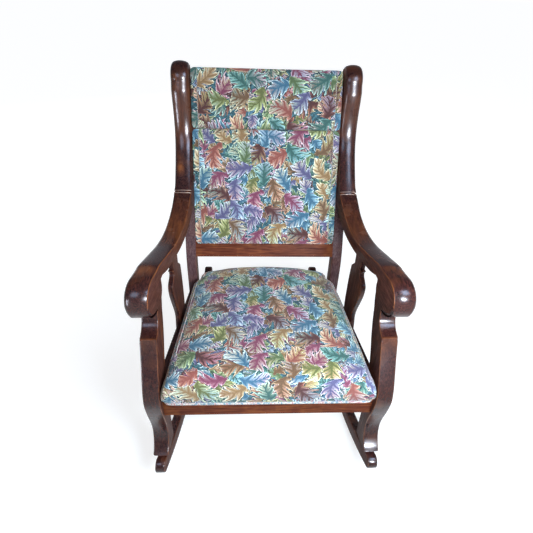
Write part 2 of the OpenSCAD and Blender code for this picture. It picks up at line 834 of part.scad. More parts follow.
module tube(path, r) {
    n = ring_sides;
    last = (len(path) - 1) * n;
    points = [for (k = [0 : len(path) - 1]) each tube_ring(path, k, r)];
    sides = [for (k = [0 : len(path) - 2]) for (i = [0 : n - 1]) each [
        [k * n + i, k * n + (i + 1) % n, (k + 1) * n + (i + 1) % n],
        [k * n + i, (k + 1) * n + (i + 1) % n, (k + 1) * n + i]
    ]];
    near = [for (i = [1 : n - 2]) [0, i + 1, i]];
    far = [for (i = [1 : n - 2]) [last, last + i, last + i + 1]];
    polyhedron(points = points, faces = concat(sides, near, far), convexity = 6);
}

// Least clear distance between one turn and the next, measured on the path's points
spring_gap = min([for (k = [0 : spring_steps - rings_a_turn])
    norm(spring_path[k + rings_a_turn] - spring_path[k])]) - spring_wire;
echo(spring_gap = spring_gap);

module seat_springs() {
    pitch_x = well_half * 2 / 3;
    pitch_y = (well_rear_y - well_front_y) / 3;
    color("#8a8f94") placed()
        for (i = [-1, 0, 1]) for (j = [0, 1, 2])
            translate([i * pitch_x, well_front_y + pitch_y * (j + 0.5), 0]) tube(spring_path, spring_wire / 2);
}

module dust_cover() {
    y0 = front_rail_y + web_inset;
    y1 = rear_rail_y + rail_t * 0.9;
    color("#2b2a2a") placed()
        translate([0, 0, rail_low_z - web_t * 3])
            linear_extrude(height = web_t)
                polygon([
                    [-leg_inner_x + cover_gap, y0], [leg_inner_x - cover_gap, y0],
                    [leg_inner_x - cover_gap, 0], [side_rail_x(stile_y) - rail_t, stile_y - cover_gap],
                    [stile_inner_x - cover_gap, stile_y - cover_gap], [stile_inner_x - cover_gap, y1],
                    [-stile_inner_x + cover_gap, y1], [-stile_inner_x + cover_gap, stile_y - cover_gap],
                    [-side_rail_x(stile_y) + rail_t, stile_y - cover_gap], [-leg_inner_x + cover_gap, 0]
                ]);
}

// Back pads and cover
pad_side_gap = 1.5;
pad_half = stile_inner_x - pad_side_gap;
pad_lift = 12;
back_ring_shares = [
    [0.985, 0.00], [1.00, 0.30], [0.985, 0.60], [0.94, 0.78], [0.84, 0.90], [0.62, 0.97], [0.3, 1.00]
];

function pad_outline(half, low, high, r) = concat(
    arc([half - r, low + r], r, -90, 90, 2),
    [[half, low + (high - low) / 2]],
    arc([half - r, high - r], r, 0, 90, 2),
    [[half * 0.33, high], [-half * 0.33, high]],
    arc([-half + r, high - r], r, 90, 90, 2),
    [[-half, low + (high - low) / 2]],
    arc([-half + r, low + r], r, 180, 90, 2),
    [[-half * 0.33, low], [half * 0.33, low]]);

module back_pad(low, high, thick) {
    translate([0, -web_t * 2 - seat_clear, 0])
        rotate([90, 0, 0])
            pad(pad_outline(pad_half, low, high, pad_lift), [0, (low + high) / 2],
                [for (s = back_ring_shares) [s[0], s[0], s[1] * thick]]);
}

module back_cushion() {
    color(cloth) on_back() back_pad(back_rail_h + seat_clear, back_rail_h + seam_s, pad_lift);
}

module head_cushion() {
    color(cloth) on_back() back_pad(back_rail_h + seam_s + seat_clear, back_rail_h + panel_len, pad_lift * 1.3);
}

module outer_back_cover() {
    color(cloth) on_back()
        translate([-stile_inner_x + cover_gap, back_rail_t, back_rail_h / 4])
            cube([(stile_inner_x - cover_gap) * 2, web_t, back_top_s - back_rail_h / 4]);
}

runner(-1);  // left_runner
runner(1);  // right_runner
front_leg(-1);  // left_front_leg
front_leg(1);  // right_front_leg
rear_leg(-1);  // left_rear_leg
rear_leg(1);  // right_rear_leg
ear(-1);  // left_ear
ear(1);  // right_ear
arm(-1);  // left_arm
arm(1);  // right_arm
splat(-1);  // left_splat
splat(1);  // right_splat
front_seat_rail();
rear_seat_rail();
side_rail(-1);  // left_side_rail
side_rail(1);  // right_side_rail
front_corner_block(-1);  // left_front_corner_block
front_corner_block(1);  // right_front_corner_block
rear_corner_block(-1);  // left_rear_corner_block
rear_corner_block(1);  // right_rear_corner_block
corner_block_screws();
runner_dowels();
back_bottom_rail();
back_top_rail();
back_strip(-1);  // left_back_strip
back_strip(1);  // right_back_strip
back_webbing();
back_cushion();
head_cushion();
outer_back_cover();
seat_webbing();
seat_springs();
spring_burlap();
seat_cushion();
dust_cover();
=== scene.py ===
from math import cos, hypot, pi, radians, sin

import bmesh
import bpy
from mathutils import Matrix, Vector
from mathutils.bvhtree import BVHTree
from mathutils.kdtree import KDTree


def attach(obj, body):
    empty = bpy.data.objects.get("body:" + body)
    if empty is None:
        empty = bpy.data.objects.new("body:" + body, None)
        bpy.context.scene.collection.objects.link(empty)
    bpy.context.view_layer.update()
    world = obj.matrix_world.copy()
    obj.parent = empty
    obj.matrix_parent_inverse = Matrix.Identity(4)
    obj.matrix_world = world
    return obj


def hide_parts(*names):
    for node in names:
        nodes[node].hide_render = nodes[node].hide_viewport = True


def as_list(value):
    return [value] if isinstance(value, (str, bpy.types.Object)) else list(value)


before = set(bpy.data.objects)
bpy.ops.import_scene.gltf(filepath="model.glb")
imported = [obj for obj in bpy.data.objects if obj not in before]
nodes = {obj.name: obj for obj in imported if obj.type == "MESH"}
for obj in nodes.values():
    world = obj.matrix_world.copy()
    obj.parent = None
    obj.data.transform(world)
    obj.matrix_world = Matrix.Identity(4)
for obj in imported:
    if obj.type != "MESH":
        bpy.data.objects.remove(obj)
scene = bpy.context.scene
scene.view_settings.view_transform = "Standard"
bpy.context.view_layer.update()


def linear(hexColour):  # sRGB hex to the linear values of Blender's sockets
    parts = [int(hexColour[i:i + 2], 16) / 255 for i in (1, 3, 5)]
    return tuple(p / 12.92 if p <= 0.04045 else ((p + 0.055) / 1.055) ** 2.4 for p in parts) + (1.0,)


def addObject(name, data):
    thing = bpy.data.objects.new(name, data)
    scene.collection.objects.link(thing)
    return thing


# Inputs go by name or number: in Mix 0 is the share, 6 and 7 are the colours; in MapRange 1 to 4 are ranges
def adder(tree):  # what adds a node to this tree, with its settings and its inputs
    def add(kind, inputs=None, **settings):
        isWhole = kind.startswith(("Geometry", "Function", "NodeGroup"))
        node = tree.nodes.new(kind if isWhole else "ShaderNode" + kind)
        for name, value in settings.items():
            setattr(node, name, value)
        for name, value in (inputs or {}).items():  # each a value, a node or a node's socket
            if isinstance(value, bpy.types.Node):
                value = value.outputs[0]
            if isinstance(value, bpy.types.NodeSocket):
                tree.links.new(value, node.inputs[name])
            else:
                node.inputs[name].default_value = value
        return node

    return add


def newMaterial(name):
    material = bpy.data.materials.new(name)
    material.use_nodes = True
    material.node_tree.nodes.clear()
    return material, adder(material.node_tree)


# How the chair stands: rolled back on its runners, with the back leaning on from there (metres, degrees)
stance = {"rockerRadius": 0.860, "contactY": 0.238, "middleY": 0.253, "restTilt": 4.6,
          "leanY": 0.4164, "leanZ": 0.442, "backLean": 19.2}
placed = (Matrix.Translation((0, stance["contactY"] - stance["middleY"], stance["rockerRadius"]))
          @ Matrix.Rotation(radians(-stance["restTilt"]), 4, "X")
          @ Matrix.Translation((0, -stance["contactY"], -stance["rockerRadius"])))
onBack = (placed @ Matrix.Translation((0, stance["leanY"], stance["leanZ"]))
          @ Matrix.Rotation(radians(-stance["backLean"]), 4, "X"))
levelFromPlaced, backFromPlaced = placed.inverted(), onBack.inverted()
levelWay, backWay = placed.to_3x3(), onBack.to_3x3()  # for directions

# The photograph's viewpoint: standing height, a little to the left, looking down at the seat
cameraLook = {"place": (-0.0570, -0.9111, 1.2441), "turn": 3.549, "drop": 39.432, "roll": 2.407,
              "lens": 26.71, "film": 36}


def makeCamera():
    data = bpy.data.cameras.new("camera")
    data.lens = cameraLook["lens"]
    data.sensor_width = cameraLook["film"]
    camera = addObject("camera", data)
    camera.matrix_world = (Matrix.Translation(cameraLook["place"])
                           @ Matrix.Rotation(radians(-cameraLook["turn"]), 4, "Z")
                           @ Matrix.Rotation(radians(90 - cameraLook["drop"]), 4, "X")
                           @ Matrix.Rotation(radians(cameraLook["roll"]), 4, "Z"))
    scene.camera = camera


makeCamera()
print("camera set")

# Tapestry: a jacquard of curled leaves on a teal ground, woven of dull cotton: matt, with a fuzzy edge light
tapestry = {
    "ground": "#45707a", "deep": "#22373d",
    "leaves": [  # dark of the veins, body, pale edge
        ("#75394e", "#b87d91", "#ebced5"), ("#3a6178", "#86b2c2", "#e2f8f8"),
        ("#83473e", "#c1856f", "#eecdb3"), ("#4f613e", "#93a777", "#daeab9"),
        ("#4c2a27", "#864e3f", "#be8a70"), ("#355a54", "#6f9e94", "#b4dbcc"),
        ("#876743", "#cdb68d", "#f5f3d3"), ("#524f70", "#9c9eb8", "#dfe2ea"),
        ("#5d6136", "#a3a568", "#e4e3b4"), ("#664a32", "#a08060", "#d6c39d")],
    "leafCells": (0.063, 0.052, 0.041), "wander": 0.008, "wanderOver": 0.012, "weave": 0.0035,  # metres
    "patch": 0.009, "patchShare": 0.80, "leafScatter": 0.78, "leafShrink": 1.55,
}
# The drawing of one leaf, a step a line: name, operation, terms; along and across run from -1 to 1 over it
leafSteps = """
turn MULTIPLY random1 6.283185307
bendSide MULTIPLY_ADD random3 1.3 -0.65
alongSquare MULTIPLY along along
bendBy MULTIPLY_ADD alongSquare 1.0 -0.3
across MULTIPLY_ADD bendBy bendSide acrossFlat
out ABSOLUTE across
side SIGN across
slantBy MULTIPLY_ADD along -0.40 -0.75
slant MULTIPLY_ADD out slantBy along
tipRoom SUBTRACT 1.0 slant
footRoom ADD 1.06 slant
room MULTIPLY tipRoom footRoom
roomUp MAXIMUM room 0.0
roomRoot POWER roomUp 0.6
sidePhase MULTIPLY side 0.25
phase MULTIPLY_ADD slant 2.0 sidePhase
saw FRACT phase
sawMiddle SUBTRACT saw 0.5
sawOut ABSOLUTE sawMiddle
lobe MULTIPLY sawOut 2.0
lobePower POWER lobe 1.15
toothPhase MULTIPLY phase 3.0
tooth PINGPONG toothPhase 0.5
lobeCut MULTIPLY_ADD lobePower -0.86 1.0
toothed MULTIPLY_ADD tooth 0.42 lobeCut
reach MULTIPLY roomRoot toothed
reachSized MULTIPLY_ADD reach 0.74 0.001
share DIVIDE out reachSized
cellShare MULTIPLY_ADD toEdge -3.4 1.03
edge MAXIMUM share cellShare
mask LESS_THAN edge 1.0
shadow LESS_THAN edge 1.22
midrib LESS_THAN out 0.040
veinLine LESS_THAN lobe 0.24
veinReach LESS_THAN share 0.78
vein MULTIPLY veinLine veinReach
notchLine GREATER_THAN lobe 0.86
notchReach GREATER_THAN share 0.30
notch MULTIPLY notchLine notchReach
ribs MAXIMUM midrib vein
dark MAXIMUM ribs notch
rim GREATER_THAN edge 0.88
hatchPhase MULTIPLY phase 6.0
hatch PINGPONG hatchPhase 0.5
hatched MULTIPLY hatch share
shareSquare MULTIPLY share share
tone1 MULTIPLY_ADD shareSquare 0.30 0.10
tone2 MULTIPLY_ADD hatched 0.95 tone1
tone3 MULTIPLY_ADD rim 0.38 tone2
tone4 MULTIPLY_ADD side 0.10 tone3
tone5 MULTIPLY_ADD along 0.30 tone4
tone MULTIPLY_ADD dark -0.44 tone5
tipShare MULTIPLY_ADD along 0.5 0.30
toBody MULTIPLY tone 2.0
toPale MULTIPLY_ADD tone 2.0 -1.0
"""


def makeLeafGroup():  # one layer of leaves, a leaf to each cell, as colour and mask
    tree = bpy.data.node_groups.new("leaf layer", "ShaderNodeTree")
    for name, way, kind in (("Place", "INPUT", "Vector"), ("Color", "OUTPUT", "Color"),
                            ("Mask", "OUTPUT", "Float"), ("Shadow", "OUTPUT", "Float")):
        tree.interface.new_socket(name, in_out=way, socket_type="NodeSocket" + kind)
    add = adder(tree)
    place = add("NodeGroupInput")
    spread = {"Vector": place, "Scale": 1.0, "Randomness": tapestry["leafScatter"]}
    cell = add("TexVoronoi", spread, voronoi_dimensions="2D")
    edge = add("TexVoronoi", spread, voronoi_dimensions="2D", feature="DISTANCE_TO_EDGE")
    chance = add("SeparateColor", {0: cell.outputs["Color"]})
    local = add("VectorMath", {0: place, 1: cell.outputs["Position"]}, operation="SUBTRACT")
    made = {"random1": chance, "random2": chance.outputs[1], "random3": chance.outputs[2],
            "toEdge": edge.outputs["Distance"]}
    for step in leafSteps.strip().splitlines():
        name, operation, *terms = step.split()
        if name == "bendSide":
            spin = {"Vector": local, "Angle": made["turn"]}
            turned = add("VectorRotate", spin, rotation_type="Z_AXIS")
            sized = add("VectorMath", {0: turned, 3: tapestry["leafShrink"]}, operation="SCALE")
            parts = add("SeparateXYZ", {0: sized})
            made["along"], made["acrossFlat"] = parts.outputs[:2]
        terms = {i: made[term] if term in made else float(term) for i, term in enumerate(terms)}
        made[name] = add("Math", terms, operation=operation)
    shades = []
    for shade, chosen in ((0, "random2"), (1, "random2"), (2, "random2"), (1, "random1")):
        ramp = add("ValToRGB", {0: made[chosen]})
        ramp.color_ramp.interpolation = "CONSTANT"
        stops = ramp.color_ramp.elements
        for i, leaf in enumerate(tapestry["leaves"]):
            stop = stops[i] if i < 2 else stops.new(i / len(tapestry["leaves"]))
            stop.position = i / len(tapestry["leaves"])
            stop.color = linear(leaf[shade])
        shades.append(ramp)
    tipped = add("Mix", {0: made["tipShare"], 6: shades[1], 7: shades[3]}, data_type="RGBA")
    body = add("Mix", {0: made["toBody"], 6: shades[0], 7: tipped.outputs[2]}, data_type="RGBA")
    pale = add("Mix", {0: made["toPale"], 6: body.outputs[2], 7: shades[2]}, data_type="RGBA")
    add("NodeGroupOutput", {"Color": pale.outputs[2], "Mask": made["mask"], "Shadow": made["shadow"]})
    return tree


def makeTapestry():
    material, add = newMaterial("cotton tapestry")
    leafGroup = makeLeafGroup()
    cloth = add("UVMap", uv_map="cloth")
    noiseIn = {"Vector": cloth, "Scale": 1 / tapestry["weave"], "Detail": 2.0, "Roughness": 0.6}
    shaky = add("TexNoise", {**noiseIn, "Scale": 1 / tapestry["wanderOver"]})
    middle = {0: shaky.outputs["Color"], 1: (0.5, 0.5, 0.5)}
    wander = add("VectorMath", middle, operation="SUBTRACT")
    reach = {0: wander, 1: (tapestry["wander"], tapestry["wander"], 0), 2: cloth}
    wandered = add("VectorMath", reach, operation="MULTIPLY_ADD")
    patch = add("TexNoise", {**noiseIn, "Scale": 1 / tapestry["patch"]})
    patchy = add("MapRange",
                 {0: patch.outputs["Fac"], 1: 0.42, 2: 0.58, 3: 0.0, 4: tapestry["patchShare"]})
    deep = linear(tapestry["deep"])
    ground = {0: patchy, 6: linear(tapestry["ground"]), 7: deep}
    colour = add("Mix", ground, data_type="RGBA").outputs[2]
    for layer in (2, 1, 0):
        size = tapestry["leafCells"][layer]
        away = (3.7 + 5.3 * layer, 9.1 - 2.9 * layer, 0)  # no two layers alike
        spot = add("VectorMath", {0: wandered, 1: (1 / size, 1 / size, 0), 2: away},
                   operation="MULTIPLY_ADD")
        leaves = add("Group", {"Place": spot}, node_tree=leafGroup)
        under = add("Mix", {0: leaves.outputs["Shadow"], 6: colour, 7: deep}, data_type="RGBA").outputs[2]
        colour = add("Mix", {0: leaves.outputs["Mask"], 6: under, 7: leaves.outputs["Color"]},
                     data_type="RGBA").outputs[2]
    weave = add("TexNoise", noiseIn)
    shade = add("MapRange", {0: weave.outputs["Fac"], 1: 0.3, 2: 0.7, 3: 0.80, 4: 1.12})
    woven = add("VectorMath", {0: colour, 3: shade}, operation="SCALE")
    bump = add("Bump", {"Height": weave.outputs["Fac"], "Strength": 0.35, "Distance": 0.001})
    surface = add("BsdfPrincipled", {
        "Base Color": woven, "Roughness": 0.88, "Specular IOR Level": 0.25, "Sheen Weight": 0.25,
        "Sheen Roughness": 0.5, "Normal": bump})
    add("OutputMaterial", {"Surface": surface})
    return material


waveScale = 0.31  # over the width of a band in metres, this is a wave texture's scale

# Gimp: a narrow braid of pale and coloured cotton that hides the tacks, matt, with a fine slanting rib
gimp = {"pale": "#d9d2c4", "blue": "#7d93a0", "rose": "#b98a8c", "rib": 0.0022, "patch": 0.006}


def makeGimp():
    material, add = newMaterial("cotton gimp braid")
    place = add("TexCoord").outputs["Object"]
    patch = add("TexNoise", {"Vector": place, "Scale": 1 / gimp["patch"], "Detail": 1.0})
    ramp = add("ValToRGB", {0: patch.outputs["Fac"]})
    stops = ramp.color_ramp.elements
    stops[0].position, stops[0].color = 0.40, linear(gimp["blue"])
    stops[1].position, stops[1].color = 0.64, linear(gimp["rose"])
    middle = stops.new(0.5)
    middle.color = linear(gimp["pale"])
    rib = add("TexWave", {"Vector": place, "Scale": waveScale / gimp["rib"], "Distortion": 1.5},
              bands_direction="DIAGONAL")
    shade = add("MapRange", {0: rib.outputs["Fac"], 3: 0.72, 4: 1.1})
    woven = add("VectorMath", {0: ramp, 3: shade}, operation="SCALE")
    bump = add("Bump", {"Height": rib.outputs["Fac"], "Strength": 0.4, "Distance": 0.0006})
    surface = add("BsdfPrincipled", {
        "Base Color": woven, "Roughness": 0.9, "Specular IOR Level": 0.2, "Normal": bump})
    add("OutputMaterial", {"Surface": surface})
    return material


# Plain cloths: jute in a coarse open weave, and thin black cambric; matt, threads drawn coarser than real
cloths = {
    "jute": {"dark": "#7d6440", "pale": "#c2a676", "thread": 0.0026, "rough": 0.95},
    "cambric": {"dark": "#17171a", "pale": "#33333a", "thread": 0.0016, "rough": 0.9},
}


def makeCloth(name, look):
    material, add = newMaterial(name)
    place = add("TexCoord").outputs["Object"]
    threads = []
    for direction in ("X", "Y"):
        wave = add("TexWave", {"Vector": place, "Scale": waveScale / look["thread"],
                               "Distortion": 0.8, "Detail": 1.0}, bands_direction=direction)
        threads.append(wave.outputs["Fac"])
    weave = add("Math", {0: threads[0], 1: threads[1]}, operation="MAXIMUM")
    slub = add("TexNoise", {"Vector": place, "Scale": 120.0, "Detail": 3.0})
    height = add("Math", {0: weave, 1: slub.outputs["Fac"]}, operation="MULTIPLY")
    colour = add("Mix", {0: height, 6: linear(look["dark"]), 7: linear(look["pale"])}, data_type="RGBA")
    bump = add("Bump", {"Height": height, "Strength": 0.5, "Distance": 0.0008})
    surface = add("BsdfPrincipled", {
        "Base Color": colour.outputs[2], "Roughness": look["rough"], "Specular IOR Level": 0.2,
        "Normal": bump})
    add("OutputMaterial", {"Surface": surface})
    return material


# Steels: black-oiled spring wire with a brown bloom, and dull zinc-plated screws, drawn and turned
steels = {
    "spring": {"deep": "#3a3634", "clean": "#6d6a68", "rust": "#6b4630", "rusty": 0.35, "rough": 0.38},
    "screw": {"deep": "#7a7a76", "clean": "#b4b3ad", "rust": "#7a5a40", "rusty": 0.12, "rough": 0.30},
}


def makeSteel(name, look):
    material, add = newMaterial(name)
    place = add("TexCoord").outputs["Object"]
    fine = add("TexNoise", {"Vector": place, "Scale": 420.0, "Detail": 4.0})
    broad = add("TexNoise", {"Vector": place, "Scale": 26.0, "Detail": 5.0})
    metal = add("Mix",
                {0: fine.outputs["Fac"], 6: linear(look["deep"]), 7: linear(look["clean"])},
                data_type="RGBA")
    rusty = add("MapRange", {0: broad.outputs["Fac"], 1: 0.52, 2: 0.70, 3: 0.0, 4: look["rusty"]})
    colour = add("Mix", {0: rusty, 6: metal.outputs[2], 7: linear(look["rust"])}, data_type="RGBA")
    gloss = add("Math", {0: rusty, 1: 0.6, 2: look["rough"]}, operation="MULTIPLY_ADD")
    bump = add("Bump", {"Height": fine.outputs["Fac"], "Strength": 0.15, "Distance": 0.0002})
    surface = add("BsdfPrincipled", {
        "Base Color": colour.outputs[2], "Metallic": 1.0, "Roughness": gloss, "Normal": bump})
    add("OutputMaterial", {"Surface": surface})
    return material


# Mahogany-stained birch under old shellac: dark red-brown, glossy, rubbed orange where hands wear it; the
# same orange also paints a sheen on the arms' rear tops
woods = {
    "dark": {"deep": "#180b0a", "body": "#311816", "light": "#50291f", "worn": "#a86030", "patch": 0.16,
             "coat": 0.38},
    # lighter than the outer wood, to lift the inner faces that lie in the chair's shade: painted light; their
    # finish is also duller
    "inner": {"deep": "#2e1813", "body": "#4a2a22", "light": "#664035", "worn": "#a8602c", "patch": 0.10,
              "coat": 0.1},
    # the rear legs' grey-lavender tone is a painted reflection of the pale room in their glossy finish
    "greySheen": {"deep": "#33201f", "body": "#54393a", "light": "#6d4f50", "worn": "#a8602c", "patch": 0.10,
             "coat": 0.2},
    # the bead's pale colour is a painted highlight: it stands for the light caught on its thin ridges
    "bead": {"deep": "#6a4c40", "body": "#96796b", "light": "#bda596", "worn": "#c9a27a", "patch": 0.1,
             "coat": 0.3},
    "rail": {"deep": "#3a180f", "body": "#5f2e1d", "light": "#854829", "worn": "#b8733a", "patch": 0.3,
             "coat": 0.06},
    "plain": {"deep": "#8a6238", "body": "#b58a55", "light": "#cfa86f", "worn": "#d8b67e", "patch": 0.3,
              "coat": 0.0},
}
woodGrain = {"across": 0.0032, "along": 0.070, "cloud": 0.055}  # metres


def makeWood(name, look, grain, rough):  # grain is the axis that the fibres follow: 0 x, 1 y, 2 z
    material, add = newMaterial(name)
    place = add("TexCoord").outputs["Object"]
    stretch = [1 / woodGrain["across"]] * 3
    stretch[grain] = 1 / woodGrain["along"]
    fibres = add("Mapping", {"Vector": place, "Scale": stretch})
    streak = add("TexNoise", {"Vector": fibres, "Scale": 1.0, "Detail": 5.0, "Roughness": 0.62,
                              "Distortion": 0.6})
    cloud = add("TexNoise", {"Vector": place, "Scale": 1 / woodGrain["cloud"], "Detail": 3.0})
    ramp = add("ValToRGB", {0: streak.outputs["Fac"]})
    stops = ramp.color_ramp.elements
    stops[0].position, stops[0].color = 0.30, linear(look["deep"])
    stops[1].position, stops[1].color = 0.72, linear(look["light"])
    middle = stops.new(0.5)
    middle.color = linear(look["body"])
    patch = add("MapRange", {0: cloud.outputs["Fac"], 1: 0.52, 2: 0.78, 3: 0.0, 4: look["patch"]})
    rubNoise = add("TexNoise", {"Vector": fibres, "Scale": 0.35, "Detail": 2.0})
    # the wear attribute also holds a painted sheen on the arms' rear tops
    rubbed = add("Attribute", attribute_name="wear")
    rubLine = add("MapRange", {0: rubNoise.outputs["Fac"], 1: 0.30, 2: 0.70, 3: 0.3, 4: 1.0})
    rub = add("Math", {0: rubbed.outputs["Fac"], 1: rubLine, 2: patch},
              operation="MULTIPLY_ADD", use_clamp=True)
    colour = add("Mix", {0: rub, 6: ramp, 7: linear(look["worn"])}, data_type="RGBA")
    gloss = add("MapRange", {0: cloud.outputs["Fac"], 1: 0.3, 2: 0.7, 3: rough, 4: rough + 0.10})
    bump = add("Bump", {"Height": streak.outputs["Fac"], "Strength": 0.025, "Distance": 0.0005})
    surface = add("BsdfPrincipled", {
        "Base Color": colour.outputs[2], "Roughness": gloss, "Normal": bump,
        "Specular IOR Level": look["coat"] * 0.4, "Coat Weight": look["coat"], "Coat Roughness": 0.19})
    add("OutputMaterial", {"Surface": surface})
    return material


tapestryCloth = makeTapestry()
uprightWood = makeWood("shellacked mahogany upright", woods["dark"], 2, 0.22)
armWood = makeWood("shellacked mahogany along the chair", woods["dark"], 1, 0.20)
# the inner faces' lighter colour is painted light for faces in the chair's shade
innerUpright = makeWood("mahogany upright, dull inner face", woods["inner"], 2, 0.60)
innerArm = makeWood("mahogany along the chair, dull inner face", woods["inner"], 1, 0.60)
# greyed to paint the reflection that the glossy rear legs show
greySheenWood = makeWood("mahogany rear leg, greyed as a painted sheen", woods["greySheen"], 2, 0.36)
# the bead wood is pale as a painted highlight on the joint's ridges
beadHighlightWood = makeWood("joint bead, pale as a painted highlight", woods["bead"], 0, 0.3)
railWood = makeWood("worn mahogany rail", woods["rail"], 0, 0.36)
frameWood = makeWood("raw beech frame", woods["plain"], 0, 0.7)
gimpBraid = makeGimp()
juteCloth = makeCloth("jute webbing and hessian", cloths["jute"])
blackCloth = makeCloth("black cambric", cloths["cambric"])
springSteel = makeSteel("oiled spring wire", steels["spring"])
screwSteel = makeSteel("zinc-plated screws", steels["screw"])
finishes = {
    "springs": springSteel, "screws": screwSteel,
    "seat_rail": railWood, "bottom_rail": railWood, "top_rail": railWood,
    "corner_block": frameWood, "dowels": frameWood, "strip": innerUpright,
}
for name, node in nodes.items():
    for ending, material in finishes.items():
        if name.endswith(ending):
            node.data.materials.clear()
            node.data.materials.append(material)
print("materials made")


def treeOf(data):  # a mesh made ready for nearest points and rays
    return BVHTree.FromPolygons([v.co for v in data.vertices], [list(f.vertices) for f in data.polygons])


def opened(data):
    mesh = bmesh.new()
    mesh.from_mesh(data)
    return mesh


def closed(mesh, data):
    mesh.to_mesh(data)
    mesh.free()


def mergedCopy(node):  # a copy of a CAD node's mesh with its loose triangles joined
    mesh = opened(nodes[node].data)
    bmesh.ops.remove_doubles(mesh, verts=mesh.verts, dist=joining["weld"])
    data = bpy.data.meshes.new(node + "_dressed")
    closed(mesh, data)
    return addObject(node + "_dressed", data)


def applied(piece):  # the piece with its modifiers made mesh
    evaluated = piece.evaluated_get(bpy.context.evaluated_depsgraph_get())
    mesh = bpy.data.meshes.new_from_object(evaluated)
    piece.modifiers.clear()
    old = piece.data
    piece.data = mesh
    bpy.data.meshes.remove(old)


def clothMap(piece, toFlat):  # the cloth's own flat place of each point, in metres
    layer = piece.data.uv_layers.new(name="cloth")
    for loop in piece.data.loops:
        layer.data[loop.index].uv = toFlat(piece.data.vertices[loop.vertex_index].co)


# How triangles are joined to flats, and the angle past which an edge stays sharp; metres and degrees
joining = {"weld": 0.00002, "again": 0.000001, "flat": 0.6, "sharp": 38, "cut": 0.00001}


def joinFlats(mesh):  # triangles that lie in one plane become one face
    bmesh.ops.dissolve_limit(mesh, angle_limit=radians(joining["flat"]), verts=mesh.verts,
                             edges=mesh.edges)


def cutAcross(mesh, place, way):  # a line of new points all round the mesh
    bmesh.ops.bisect_plane(mesh, geom=mesh.verts[:] + mesh.edges[:] + mesh.faces[:], plane_co=place,
                           plane_no=way, dist=joining["cut"])


def shade(piece, material, innerWood=None, isInner=None):  # smooth faces, and a second finish for inner ones, lightened as painted light
    piece.data.materials.clear()
    for finish in (material, innerWood) if innerWood else (material,):
        piece.data.materials.append(finish)
    mesh = opened(piece.data)
    for edge in mesh.edges:
        edge.smooth = len(edge.link_faces) == 2 and edge.calc_face_angle(0) < radians(joining["sharp"])
    for face in mesh.faces:
        face.smooth = True
        face.material_index = 1 if isInner and isInner(face) else 0
    closed(mesh, piece.data)


tubeLook = {"sides": 8, "tip": 0.45, "upright": 0.9}  # corners round, width of the ends, what counts as steep


def tube(name, paths, radius, material):  # closed tubes along paths of points, as one piece
    mesh = bmesh.new()
    sides = tubeLook["sides"]
    for path in paths:
        rings = []
        for i, point in enumerate(path):
            heading = (path[min(i + 1, len(path) - 1)] - path[max(i - 1, 0)]).normalized()
            other = Vector((0, 0, 1)) if abs(heading.z) < tubeLook["upright"] else Vector((1, 0, 0))
            across = heading.cross(other).normalized()
            up = across.cross(heading)
            size = radius * (tubeLook["tip"] if i in (0, len(path) - 1) else 1)
            turns = [2 * pi * k / sides for k in range(sides)]
            rings.append([mesh.verts.new(point + (across * cos(t) + up * sin(t)) * size) for t in turns])
        for a, b in zip(rings, rings[1:]):
            for k in range(sides):
                mesh.faces.new((a[k], a[(k + 1) % sides], b[(k + 1) % sides], b[k]))
        mesh.faces.new(rings[0][::-1])
        mesh.faces.new(rings[-1])
    bmesh.ops.recalc_face_normals(mesh, faces=mesh.faces)
    for face in mesh.faces:
        face.smooth = True
    data = bpy.data.meshes.new(name)
    closed(mesh, data)
    data.materials.append(material)
    piece = addObject(name, data)
    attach(piece, "root")


# The wooden boards, in metres: into how many layers each is cut for its crown, the radius of outer, inner and
# cross edges, the crown's depth, and how far the edges are rubbed; points closer than merge are joined
boards = {
    "arm": {"wood": armWood, "cuts": 8, "outer": 0.0085, "inner": 0.0022, "corner": 0.001, "crown": 0.0035,
            "rub": 0.65, "merge": 0.0014, "scroll": 0.0150},
    "ear": {"wood": uprightWood, "cuts": 10, "outer": 0.0085, "inner": 0.0060, "corner": 0.001,
            "crown": 0.0070, "rub": 0.2, "merge": 0.0014},
    "front_leg": {"wood": uprightWood, "cuts": 4, "outer": 0.0030, "inner": 0.0022, "corner": 0.0012,
                  "crown": 0.0008, "rub": 0.45},
    "runner": {"wood": armWood, "cuts": 2, "outer": 0.0030, "inner": 0.0030, "corner": 0.001,
               "crown": 0.0004, "rub": 0.25},
    "rear_leg": {"wood": greySheenWood, "cuts": 0, "outer": 0.0025, "inner": 0.0025, "corner": 0.001,
                 "crown": 0, "rub": 0.2},
    "splat": {"wood": uprightWood, "cuts": 0, "outer": 0.0016, "inner": 0.0016, "corner": 0.0008,
              "crown": 0, "rub": 0.4},
    "side_rail": {"wood": armWood, "cuts": 0, "outer": 0.0020, "inner": 0.0020, "corner": 0.0006,
                  "crown": 0, "rub": 0.3},
}
# The joint of arm and ear: its line in the side view, the way that it faces there, and its two thin ridges
bead = {"y": 0.43706, "z": 0.665, "groove": 0.0019, "near": 0.0035, "facing": (0, -0.676, 0.737),
        "crown": 0.0032, "ridge": 0.0012, "sunk": 0.3, "apart": 0.0080, "inner": 0.2285, "outer": 0.2795,
        "steps": 16, "before": 0.05, "behind": 0.03}
partners = {"arm": "ear", "ear": "arm"}  # the crown runs on from one to the other
# How every board is rounded, in metres and degrees: touching keeps an edge against another piece sharp, room
# parts a rounding from the nearest cut, and a corner thrown farther than stray past the outline goes back
rounding = {"touching": 0.0004, "room": 0.0004, "stray": 0.0006, "merge": 0.0003, "proud": 0.0001,
            "bends": 30, "segments": 4, "crownPower": 2.2, "thinEdge": 0.0035, "wearReach": 1.7,
            "rounds": 8, "thickest": 0.1}
